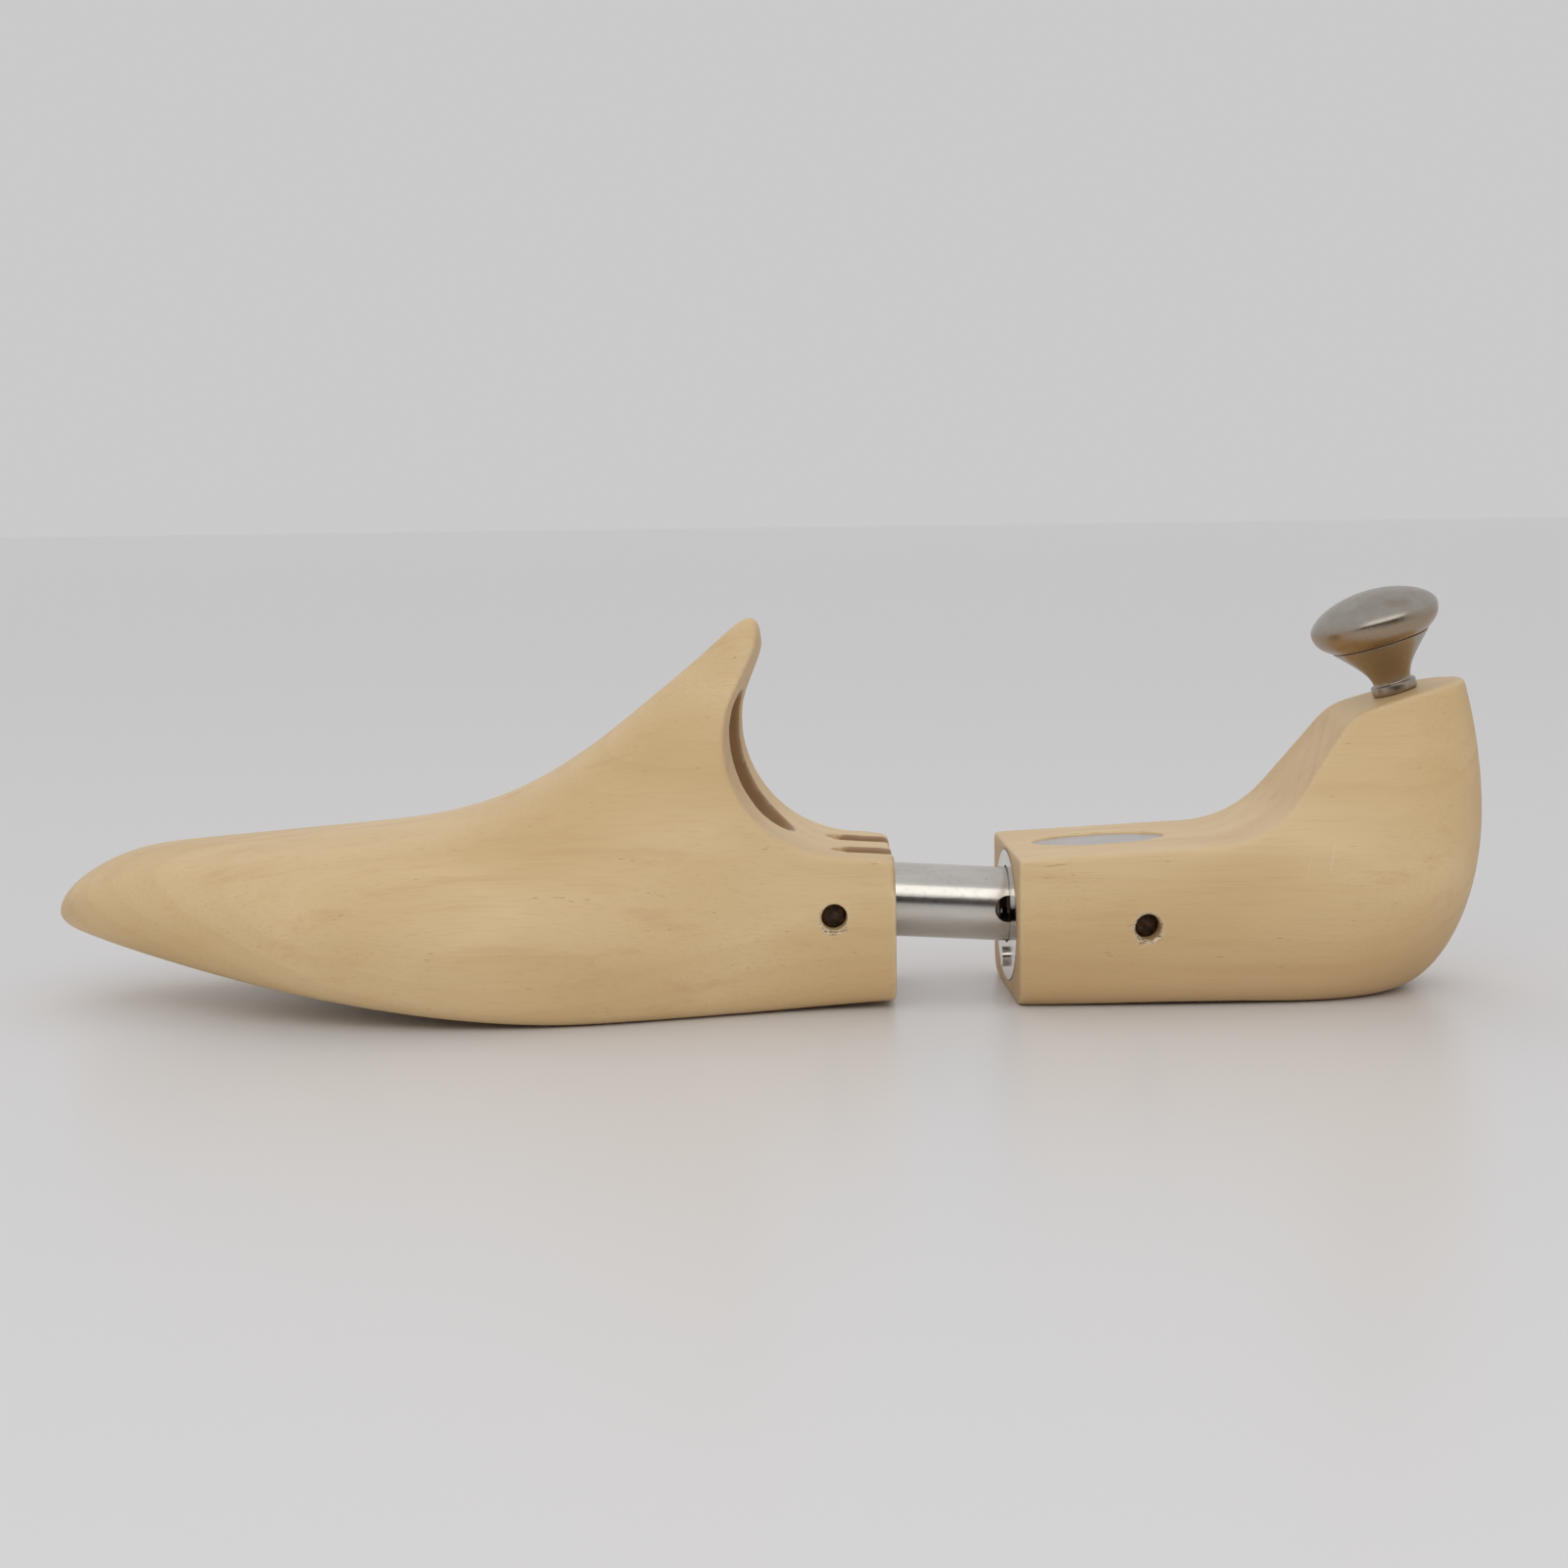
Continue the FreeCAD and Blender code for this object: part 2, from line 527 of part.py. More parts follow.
def oval(length, width, depth):
    """Oval solid with its long side along X, standing on the X-Y plane."""
    major = max(length, width) / 2.0
    minor = min(length, width) / 2.0
    face = Part.Face(Part.Wire(Part.Ellipse(Vec(0, 0, 0), major, minor).toShape()))
    solid = face.extrude(Vec(0, 0, depth))
    if width > length:
        solid.rotate(Vec(0, 0, 0), Vec(0, 0, 1), 90.0)
    return solid


NAME_MIDDLE = deck_point(size("name_back")) + Vec(0, size("name_offset"), 0)
NAME_TURN = FreeCAD.Rotation(Vec(0, 1, 0), -size("heel_deck_slope"))
NAME_FLOOR = NAME_MIDDLE - NAME_TURN.multVec(Vec(0, 0, size("name_thickness") + size("name_sink")))
PLATE_BACK = Vec(HEEL_X + size("plate_thickness"), 0, size("plate_centre"))
PLATE_TURN = FreeCAD.Rotation(Vec(0, 1, 0), -90.0)
SCREW_DROP = TUBE_RADIUS + size("plate_screw_gap") + size("screw_head_diameter") / 2.0
SCREW_SEAT = Vec(HEEL_X, 0, on_axis(size("gap_open")).z - SCREW_DROP)
KNOB_TURN = FreeCAD.Rotation(Vec(0, 1, 0), -size("seat_slope"))
KNOB_WAY = KNOB_TURN.multVec(Vec(0, 0, 1))


def placed(solid, base, turn):
    """The solid moved from its own frame to a place in the shoe tree."""
    solid.Placement = FreeCAD.Placement(base, turn).multiply(solid.Placement)
    return solid


def heel_cutters():
    """Solids of every recess and hole in the heel block."""
    gap = 2.0 * size("inlay_clearance")
    plate = oval(size("plate_height") + gap, size("plate_width") + gap, INLAY_CUT)
    name = oval(size("name_length") + gap, size("name_width") + gap, INLAY_CUT)
    bore_end = size("tube_reach") + size("slide_travel") + size("bore_spare")
    bore = axis_cylinder(TUBE_RADIUS + size("slide_clearance"), 0.0, bore_end)
    screw_hole = Part.makeCylinder(size("screw_shank_diameter") / 2.0 + size("seat_clearance"),
                                   size("screw_length") + size("screw_spare"), SCREW_SEAT, Vec(1, 0, 0))
    stud_depth = size("stud_in_wood") + size("stud_spare")
    stud_hole = Part.makeCylinder(size("stud_diameter") / 2.0 + size("seat_clearance"),
                                  stud_depth + WIDE, SEAT - KNOB_WAY * stud_depth, KNOB_WAY)
    return [heel_scoop(), sole_hollow(), bore, screw_hole, stud_hole,
            cross_hole(PIN_RADIUS + size("seat_clearance"), HEEL_PIN),
            placed(plate, PLATE_BACK, PLATE_TURN), placed(name, NAME_FLOOR, NAME_TURN)]


def heel_block():
    """Wooden heel: carved body with its scooped top, recesses and holes."""
    top = size("heel_top_height") + HEEL_SPARE_HEIGHT
    body = Part.makeLoft([heel_section(share * top) for share in HEEL_PLACES], True, False)
    return body.cut(heel_cutters()).Solids[0]


# ---------------------------------------------------------------- pieces made from primitives

def bind(piece, sizes, base=("0", "0", "0")):
    """Tie a piece's properties and its place to expressions of the sheet's sizes."""
    for name, expression in sizes.items():
        piece.setExpression(name, expression)
    for axis, expression in zip("xyz", base):
        piece.setExpression("Placement.Base." + axis, expression)
    return piece


def cylinder(name, radius, height, base=("0", "0", "0"), turn=FreeCAD.Rotation()):
    """A cylinder whose radius, height and place are expressions."""
    piece = doc.addObject("Part::Cylinder", name)
    piece.Placement.Rotation = turn
    return bind(piece, {"Radius": radius, "Height": height}, base)


def cut_by(name, base, tools):
    """The base less its tools, as one object."""
    joined = doc.addObject("Part::MultiFuse", name + "_tools")
    joined.Shapes = tools
    piece = doc.addObject("Part::Cut", name)
    piece.Base = base
    piece.Tool = joined
    return piece


def finish(piece, label, base, turn):
    """Give a finished piece its label and its place in the shoe tree."""
    piece.Label = label
    piece.Placement = FreeCAD.Placement(base, turn)
    return piece


ACROSS = FreeCAD.Rotation(Vec(1, 0, 0), -90.0)
TUBE_FRONT = on_axis(size("tube_seat_gap") - size("tube_seat"))


def slide_tube():
    """Slotted tube along its own Z axis, with a cross hole for the forepart's pin."""
    slant = "cos(sizes.tube_slope * 1 deg)"
    front = "(sizes.tube_seat - sizes.tube_seat_gap)"
    length = "(" + front + " + sizes.tube_reach) / " + slant
    outer = cylinder("tube_outside", "sizes.tube_diameter / 2", length)
    inner = cylinder("tube_inside", "sizes.tube_diameter / 2 - sizes.tube_wall",
                     length + " + 2 * sizes.tube_wall", ("0", "0", "-sizes.tube_wall"))
    drop = "sizes.fore_pin_drop"
    pin_place = ("(" + front + " - sizes.fore_pin_back) / " + slant
                 + " + " + drop + " * sin(sizes.tube_slope * 1 deg)")
    hole = cylinder("tube_pin_hole", "sizes.pin_diameter / 2 + sizes.pin_tube_gap",
                    "sizes.tube_diameter * 2",
                    (drop + " * " + slant, "-sizes.tube_diameter", pin_place), ACROSS)
    width = "(sizes.pin_diameter + sizes.slot_clearance)"
    start = "(" + front + " + sizes.slot_start) / " + slant + " + " + width + " / 2"
    end = ("(" + front + " + sizes.gap_open + sizes.heel_pin_back) / " + slant
           + " + sizes.pin_slot_gap - sizes.slot_clearance / 2")
    ends = [cylinder("slot_end_%d" % index, width + " / 2", "sizes.tube_diameter * 2",
                     ("0", "-sizes.tube_diameter", place), ACROSS)
            for index, place in enumerate((start, end))]
    middle = doc.addObject("Part::Box", "slot_middle")
    bind(middle, {"Length": width, "Width": "sizes.tube_diameter * 2",
                  "Height": "(" + end + ") - (" + start + ")"},
         ("-" + width + " / 2", "-sizes.tube_diameter", start))
    tube = cut_by("slide_tube", outer, [inner, hole, middle] + ends)
    return finish(tube, "slide_tube", TUBE_FRONT, LENGTHWAYS)


def eased(base, name, width):
    """The base with all its round rims chamfered."""
    doc.recompute()
    piece = doc.addObject("Part::Chamfer", name)
    piece.Base = base
    rims = [index for index, edge in enumerate(base.Shape.Edges, start=1) if edge.Closed]
    piece.Edges = [(index, width, width) for index in rims]
    return piece


def cross_pin(label, centre, width):
    """Cross pin with eased ends, short of the wood's faces at both sides."""
    length = width + " - 2 * sizes.pin_recess"
    shank = cylinder(label + "_shank", "sizes.pin_diameter / 2", length)
    pin = eased(shank, label, size("pin_crown"))
    half = shank.Height.Value / 2.0
    return finish(pin, label, centre - Vec(0, half, 0), ACROSS)


def compression_spring():
    """Coil spring between the two pins, inside the tube."""
    wire = size("spring_wire")
    mean = TUBE_RADIUS - size("tube_wall") - size("spring_gap") - wire / 2.0
    ends = PIN_RADIUS + size("spring_end_gap") + wire / 2.0
    front = (FORE_PIN - AXIS_START).dot(AXIS_WAY) + ends
    back = (HEEL_PIN - AXIS_START).dot(AXIS_WAY) - ends
    path = Part.makeHelix((back - front) / size("spring_coils"), back - front, mean)
    section = Part.Wire(Part.Circle(Vec(mean, 0, 0), Vec(0, 1, 0), wire / 2.0).toShape())
    coil = doc.addObject("Part::Feature", "compression_spring")
    coil.Shape = Part.Wire(path.Edges).makePipeShell([section], True, True)
    return finish(coil, "compression_spring", AXIS_START + AXIS_WAY * front, LENGTHWAYS)


def oval_plate(label, major, minor, thickness):
    """Oval plate on the X-Y plane, its long side along X."""
    outline = doc.addObject("Part::Ellipse", label + "_outline")
    bind(outline, {"MajorRadius": major, "MinorRadius": minor})
    plate = doc.addObject("Part::Extrusion", label + "_blank")
    plate.Base = outline
    plate.DirMode = "Custom"
    plate.Dir = Vec(0, 0, 1)
    plate.Solid = True
    bind(plate, {"LengthFwd": thickness})
    return plate


def face_plate():
    """Oval plate of the heel's front face, with the tube's hole and the screw's hole."""
    blank = oval_plate("face_plate", "sizes.plate_width / 2", "sizes.plate_height / 2",
                       "sizes.plate_thickness")
    lift = "(sizes.tube_height - sizes.gap_open * tan(sizes.tube_slope * 1 deg) - sizes.plate_centre)"
    screw_drop = "(sizes.tube_diameter / 2 + sizes.plate_screw_gap + sizes.screw_head_diameter / 2)"
    tube_hole = cylinder("plate_tube_hole", "sizes.tube_diameter / 2 + sizes.plate_clearance",
                         "sizes.plate_thickness * 3", ("0", lift, "-sizes.plate_thickness"))
    screw_hole = cylinder("plate_screw_hole", "sizes.screw_shank_diameter / 2 + sizes.inlay_clearance",
                          "sizes.plate_thickness * 3",
                          ("0", lift + " - " + screw_drop, "-sizes.plate_thickness"))
    plate = cut_by("face_plate", blank, [tube_hole, screw_hole])
    turn = FreeCAD.Rotation(Vec(0, -1, 0), Vec(0, 0, 1), Vec(-1, 0, 0), "ZXY")
    return finish(plate, "face_plate", PLATE_BACK, turn)


def face_plate_screw():
    """Small screw below the tube: a low round head and its shank, along its own Z axis."""
    shank = cylinder("screw_shank", "sizes.screw_shank_diameter / 2", "sizes.screw_length")
    head = cylinder("screw_head", "sizes.screw_head_diameter / 2", "sizes.screw_head_height",
                    ("0", "0", "-sizes.screw_head_height"))
    screw = doc.addObject("Part::MultiFuse", "face_plate_screw")
    screw.Shapes = [shank, head]
    return finish(screw, "face_plate_screw", SCREW_SEAT, FreeCAD.Rotation(Vec(0, 1, 0), 90.0))


def nameplate():
    """Oval plate let into the heel's deck, left blank."""
    blank = oval_plate("nameplate", "sizes.name_length / 2", "sizes.name_width / 2",
                       "sizes.name_thickness")
    return finish(eased(blank, "nameplate", size("name_rim")), "nameplate", NAME_FLOOR, NAME_TURN)


# ---------------------------------------------------------------- turned pieces of the knob

def value_of(expression):
    """The number that an expression of the sheet's sizes has now, worked out in a spare cell."""
    sheet.set("D1", "=" + expression.replace("sizes.", ""))
    sheet.recompute()
    number = float(sheet.get("D1"))
    sheet.clear("D1")
    return number


def pin_point(sketch, index, position, across, along):
    """Fix one end of a sketch's edge at two expressions, or on an axis where one is zero."""
    for kind, axis, expression in (("DistanceX", -2, across), ("DistanceY", -1, along)):
        value = value_of(expression)
        if value == 0.0:
            sketch.addConstraint(Sketcher.Constraint("PointOnObject", index, position, axis))
            continue
        place = sketch.addConstraint(Sketcher.Constraint(kind, -1, 1, index, position, value))
        sketch.setExpression("Constraints[%d]" % place, expression)


def arc_between(start, end, radius):
    """Arc from start to end, bulging to the right of the way from one to the other."""
    chord = end - start
    middle = (start + end) / 2.0
    left = Vec(-chord.y, chord.x, 0).normalize()
    reach = math.sqrt(abs(radius) ** 2 - (chord.Length / 2.0) ** 2)
    centre = middle + left * math.copysign(reach, radius)
    first, last = (start, end) if radius > 0 else (end, start)
    angles = [math.atan2((point - centre).y, (point - centre).x) for point in (first, last)]
    return Part.ArcOfCircle(Part.Circle(centre, Vec(0, 0, 1), abs(radius)), angles[0], angles[1])


def turned(label, points, arcs):
    """Body revolved about Z from corners (radius, height); arcs gives some edges a radius.

    An arc's radius is an expression and a sign: +1 bulges to the right of the outline's way,
    -1 to the left.
    """
    body = doc.addObject("PartDesign::Body", label)
    body.Label = label
    sketch = body.newObject("Sketcher::SketchObject", label + "_profile")
    plane = [feature for feature in body.Origin.OriginFeatures if feature.Role == "XZ_Plane"][0]
    sketch.AttachmentSupport = (plane, [""])
    sketch.MapMode = "FlatFace"
    corners = [Vec(value_of(across), value_of(along), 0) for across, along in points]
    for index, start in enumerate(corners):
        end = corners[(index + 1) % len(corners)]
        ends = (1, 2)
        if index in arcs:
            expression, side = arcs[index]
            sketch.addGeometry(arc_between(start, end, side * value_of(expression)), False)
            ends = (1, 2) if side > 0 else (2, 1)
        else:
            sketch.addGeometry(Part.LineSegment(start, end), False)
        pin_point(sketch, index, ends[0], *points[index])
        pin_point(sketch, index, ends[1], *points[(index + 1) % len(points)])
        if index in arcs:
            place = sketch.addConstraint(Sketcher.Constraint("Radius", index, value_of(expression)))
            sketch.setExpression("Constraints[%d]" % place, expression)
    turn = body.newObject("PartDesign::Revolution", label + "_turn")
    turn.Profile = sketch
    turn.ReferenceAxis = (sketch, ["V_Axis"])
    turn.Angle = 360.0
    return finish(body, label, SEAT, KNOB_TURN)


STUD_HOLE = "sizes.stud_diameter / 2 + sizes.inlay_clearance"
NECK_FOOT = "sizes.collar_height"
SEAM = "sizes.collar_height + sizes.neck_height"
RIM = SEAM + " + sizes.cap_under"
# The rim's arc is a little larger than a half circle's, so that it is less than half a turn.
RIM_EASING = "1.02"


def knob_collar():
    """Collar on the wood, round the stud."""
    outside = "sizes.collar_diameter / 2"
    points = [(STUD_HOLE, "0"), (outside, "0"), (outside, NECK_FOOT), (STUD_HOLE, NECK_FOOT)]
    return turned("knob_collar", points, {})


def knob_neck():
    """Trumpet-shaped neck, bored for the stud from below."""
    blind = "sizes.stud_in_neck + sizes.neck_spare"
    points = [(STUD_HOLE, NECK_FOOT), ("sizes.neck_diameter / 2", NECK_FOOT),
              ("sizes.seam_diameter / 2", SEAM), ("0", SEAM), ("0", blind), (STUD_HOLE, blind)]
    return turned("knob_neck", points, {1: ("sizes.neck_curve", -1)})


def knob_cap():
    """Domed head: hollow-sided below its rim, domed above it."""
    chord = "(sizes.cap_diameter / 2 - sizes.rim_radius)"
    rise = "(sizes.cap_dome - sizes.rim_radius)"
    shoulder = RIM + " + 2 * sizes.rim_radius"
    points = [("0", SEAM), ("sizes.seam_diameter / 2", SEAM), (chord, RIM), (chord, shoulder),
              ("0", shoulder + " + " + rise)]
    dome = "(" + chord + " ^ 2 + " + rise + " ^ 2) / (2 * " + rise + ")"
    rim = "sizes.rim_radius * " + RIM_EASING
    return turned("knob_cap", points, {1: ("sizes.cap_under_curve", 1), 2: (rim, 1), 3: (dome, 1)})


def knob_stud():
    """Plain stud in the wood, the collar and the neck."""
    radius = "sizes.stud_diameter / 2"
    stud = doc.addObject("Part::Cylinder", "knob_stud")
    stud.setExpression("Radius", radius)
    stud.setExpression("Height", "sizes.stud_in_wood + sizes.stud_in_neck")
    return finish(stud, "knob_stud", SEAT - KNOB_WAY * size("stud_in_wood"), KNOB_TURN)


# ---------------------------------------------------------------- building and checking

def carved(label, shape):
    """A carved wooden block as one object."""
    piece = doc.addObject("Part::Feature", label)
    piece.Label = label
    piece.Shape = shape
    return piece


PIECES = [
    carved("forepart_block", forepart_block()),
    slide_tube(),
    cross_pin("forepart_pin", FORE_PIN, "sizes.fore_rear_width"),
    compression_spring(),
    carved("heel_block", heel_block()),
    cross_pin("heel_pin", HEEL_PIN, "sizes.heel_front_width"),
    face_plate(),
    face_plate_screw(),
    nameplate(),
    knob_cap(),
    knob_neck(),
    knob_collar(),
    knob_stud(),
]
doc.recompute()

for item in doc.Objects:
    if "Invalid" in item.State or "Error" in item.State:
        raise SystemExit("%s did not recompute" % item.Name)

for piece in PIECES:
    shape = piece.Shape
    if shape.isNull() or not shape.isValid() or not shape.Solids:
        raise SystemExit("%s has no valid solid" % piece.Label)
    print("%-18s solids %d  volume %10.1f" % (piece.Label, len(shape.Solids), shape.Volume))
    shape.exportStep("parts/%s.step" % piece.Label)
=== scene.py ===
import json
import math

import bmesh
import bpy
import numpy as np
from mathutils import Matrix, Vector


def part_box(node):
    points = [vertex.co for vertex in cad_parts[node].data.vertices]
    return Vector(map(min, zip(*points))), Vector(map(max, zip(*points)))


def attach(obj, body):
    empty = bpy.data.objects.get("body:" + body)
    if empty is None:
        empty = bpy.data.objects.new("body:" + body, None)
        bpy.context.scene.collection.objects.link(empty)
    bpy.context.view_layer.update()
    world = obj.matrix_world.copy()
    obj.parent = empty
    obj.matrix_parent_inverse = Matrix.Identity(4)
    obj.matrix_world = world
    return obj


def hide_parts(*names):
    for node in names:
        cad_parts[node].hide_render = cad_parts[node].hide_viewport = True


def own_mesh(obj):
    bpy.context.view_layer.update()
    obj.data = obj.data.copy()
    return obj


# A split shoe tree: two carved wooden blocks on a sprung slide tube, with a nickel pull knob.
# Metres.  +X runs from toe to heel, +Y to the foot's inner side (away from the camera), +Z up.

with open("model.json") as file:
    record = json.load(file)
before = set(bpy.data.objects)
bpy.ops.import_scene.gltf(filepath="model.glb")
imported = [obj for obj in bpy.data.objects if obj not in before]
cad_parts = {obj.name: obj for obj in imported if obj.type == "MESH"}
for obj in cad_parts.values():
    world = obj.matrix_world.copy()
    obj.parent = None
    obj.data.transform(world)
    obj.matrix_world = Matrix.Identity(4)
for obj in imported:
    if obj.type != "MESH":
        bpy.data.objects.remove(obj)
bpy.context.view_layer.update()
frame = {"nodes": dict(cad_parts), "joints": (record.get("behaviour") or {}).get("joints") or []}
NODES = frame["nodes"]
SLIDE = frame["joints"][0]
MM = 0.001


# ---------------------------------------------------------------- places taken from the frame

def points_of(mesh):
    """The mesh's vertices as an array."""
    flat = np.empty(len(mesh.vertices) * 3)
    mesh.vertices.foreach_get("co", flat)
    return flat.reshape(-1, 3)


def vertices(node):
    """A CAD node's vertices as an array."""
    return points_of(NODES[node].data)


def off_axis(points, origin, way):
    """Distance of each point from an axis."""
    offset = points - np.array(origin)
    along = offset @ np.array(way)
    return np.sqrt(np.maximum((offset ** 2).sum(axis=1) - along ** 2, 0.0))


def middle(node):
    """The middle of a CAD node's box."""
    low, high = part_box(node)
    return (low + high) / 2.0


def long_axis(node, towards):
    """Unit vector along a long node's length, on the side of towards."""
    points = vertices(node)
    _, _, ways = np.linalg.svd(points - points.mean(axis=0), full_matrices=False)
    way = Vector(ways[0])
    return way if way.dot(towards) > 0.0 else -way


def span(node, origin, way):
    """Least and greatest distance of a node's vertices along an axis."""
    along = (vertices(node) - np.array(origin)) @ np.array(way)
    return float(along.min()), float(along.max())


def reach(node, origin, way):
    """Greatest distance of a node's vertices from an axis."""
    return float(off_axis(vertices(node), origin, way).max())


TUBE_WAY = Vector(SLIDE["axis"]).normalized()
TUBE_MIDDLE = middle("slide_tube")
TUBE_RADIUS = reach("slide_tube", TUBE_MIDDLE, TUBE_WAY)
FORE_PIN = middle("forepart_pin")
HEEL_PIN = middle("heel_pin")
PIN_WAY = Vector((0.0, 1.0, 0.0))
PIN_RADIUS = reach("forepart_pin", FORE_PIN, PIN_WAY)
FORE_REAR_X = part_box("forepart_block")[1].x
HEEL_FRONT_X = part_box("heel_block")[0].x
PLATE = middle("face_plate")
PLATE_LOW, PLATE_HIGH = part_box("face_plate")
NAME = middle("nameplate")
NAME_LOW, NAME_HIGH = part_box("nameplate")
KNOB_WAY = long_axis("knob_stud", Vector((0.0, 0.0, 1.0)))
KNOB_AXIS = middle("knob_stud")


# ---------------------------------------------------------------- building materials

class Look:
    """One material, with short ways to add nodes to it."""

    def __init__(self, name, **sockets):
        self.material = bpy.data.materials.new(name)
        self.material.use_nodes = True
        self.tree = self.material.node_tree
        self.shader = self.tree.nodes["Principled BSDF"]
        self.place = self.node("TexCoord", {}, "Object")
        self.paint(**sockets)

    def node(self, kind, inputs, output=0, **settings):
        """Add a node, set or link its inputs, and give back one of its outputs."""
        item = self.tree.nodes.new("ShaderNode" + kind)
        for key, value in settings.items():
            setattr(item, key, value)
        for key, value in inputs.items():
            if isinstance(value, bpy.types.NodeSocket):
                self.tree.links.new(value, item.inputs[key])
            else:
                item.inputs[key].default_value = value
        return item.outputs[output]

    def maths(self, operation, *values):
        """One Math node."""
        return self.node("Math", dict(enumerate(values)), operation=operation)

    def split(self, vector):
        """The X, Y and Z outputs of a vector."""
        item = self.tree.nodes.new("ShaderNodeSeparateXYZ")
        self.tree.links.new(vector, item.inputs[0])
        return item.outputs

    def turned(self, rotation, scale=(1.0, 1.0, 1.0), origin=(0.0, 0.0, 0.0)):
        """Object coordinates moved, turned and scaled."""
        moved = self.node("VectorMath", {0: self.place, 1: origin}, operation="SUBTRACT")
        angles = [math.radians(angle) for angle in rotation]
        return self.node("Mapping", {"Vector": moved, "Rotation": angles, "Scale": scale})

    def noise(self, place, scale, detail=2.0, roughness=0.5):
        """Noise from 0 to 1."""
        return self.node("TexNoise", {"Vector": place, "Scale": scale, "Detail": detail,
                                      "Roughness": roughness, "Distortion": 0.0})

    def band(self, value, low, high):
        """Value moved smoothly from low..high to 0..1; low may be the greater one."""
        return self.node("MapRange", {"Value": value, "From Min": low, "From Max": high},
                         clamp=True, interpolation_type="SMOOTHSTEP")

    def ramp(self, value, *stops):
        """Colour ramp from (place, colour) stops."""
        item = self.tree.nodes.new("ShaderNodeValToRGB")
        self.tree.links.new(value, item.inputs[0])
        elements = item.color_ramp.elements
        while len(elements) < len(stops):
            elements.new(1.0)
        for element, (place, colour) in zip(elements, stops):
            element.position = place
            element.color = (*colour, 1.0)
        return item.outputs[0]

    def mix(self, share, first, second):
        """Mix two colours."""
        inputs = {0: share, 6: first, 7: second}
        for key in (6, 7):
            if isinstance(inputs[key], tuple):
                inputs[key] = (*inputs[key], 1.0)
        return self.node("Mix", inputs, 2, data_type="RGBA", blend_type="MIX")

    def tint(self, base, mask, share, colour):
        """Base turned towards a colour by a share of a mask."""
        return self.mix(self.maths("MULTIPLY", mask, share), base, colour)

    def grain_bump(self, height, depth, under=None):
        """Bump of a depth in metres, on top of another one."""
        inputs = {"Height": height, "Distance": depth, "Strength": 1.0}
        if under is not None:
            inputs["Normal"] = under
        return self.node("Bump", inputs)

    def paint(self, **sockets):
        """Set or link the shader's own sockets; underscores stand for spaces."""
        for key, value in sockets.items():
            socket = self.shader.inputs[key.replace("_", " ")]
            if isinstance(value, bpy.types.NodeSocket):
                self.tree.links.new(value, socket)
            else:
                socket.default_value = (*value, 1.0) if isinstance(value, tuple) else value


# ---------------------------------------------------------------- wood

# Fibres run along X, a little up towards the heel; growth layers are wide cylinders round a far axis.
GRAIN_TURN = (0.0, -2.0, 1.0)
PITH_Y = 0.11
PITH_Z = -0.16
RING_WIDTH = 0.0042
RING_WANDER = 3.2
WOOD_LIGHT = (0.815, 0.605, 0.330)
WOOD_MID = (0.715, 0.500, 0.240)
WOOD_DEEP = (0.620, 0.410, 0.180)
WOOD_PINK = (0.690, 0.445, 0.222)
WOOD_END = (0.560, 0.370, 0.190)
WOOD_PORE = (0.360, 0.215, 0.110)
# Pale torn fibres, also used for the pale worn edges with their painted highlight.
WOOD_TORN_AND_HIGHLIGHT = (0.840, 0.700, 0.480)
# Painted shade inside the milled pocket and deck grooves.
WOOD_CUT_SHADE = (0.300, 0.165, 0.080)
# Painted shade towards the sole: its colour, and the height where it begins.
WOOD_SOLE_SHADE = (0.500, 0.310, 0.145)
SOLE_SHADE_HEIGHT = 0.026
STAIN = (0.230, 0.120, 0.055)
SCRATCH = (0.860, 0.780, 0.640)
# Heights of the bumps in the wood.
FIBRE_BUMP = 0.000022
LATE_RING_BUMP = 0.000012
EARLY_RING_BUMP = 0.000008
PORE_BUMP = 0.00005
TORN_BUMP = 0.00035


def segment_mask(look, start, end, width):
    """1 on the line from start to end in X-Z, 0 beyond its width, in object coordinates."""
    way = Vector((end[0] - start[0], end[1] - start[1]))
    length = way.length
    angle = math.degrees(math.atan2(way.y, way.x))
    local = look.turned((0.0, angle, 0.0), origin=(start[0], 0.0, start[1]))
    parts = look.split(local)
    across = look.maths("ABSOLUTE", parts["Z"])
    line = look.band(across, width, width * 0.4)
    begin = look.band(parts["X"], 0.0, length * 0.25)
    finish = look.band(parts["X"], length, length * 0.6)
    return look.maths("MULTIPLY", line, look.maths("MULTIPLY", begin, finish))


def spot_mask(look, centre, radius):
    """1 near a point of the surface, 0 beyond the radius."""
    away = look.node("VectorMath", {0: look.place, 1: centre}, "Value", operation="DISTANCE")
    return look.band(away, radius, radius * 0.35)


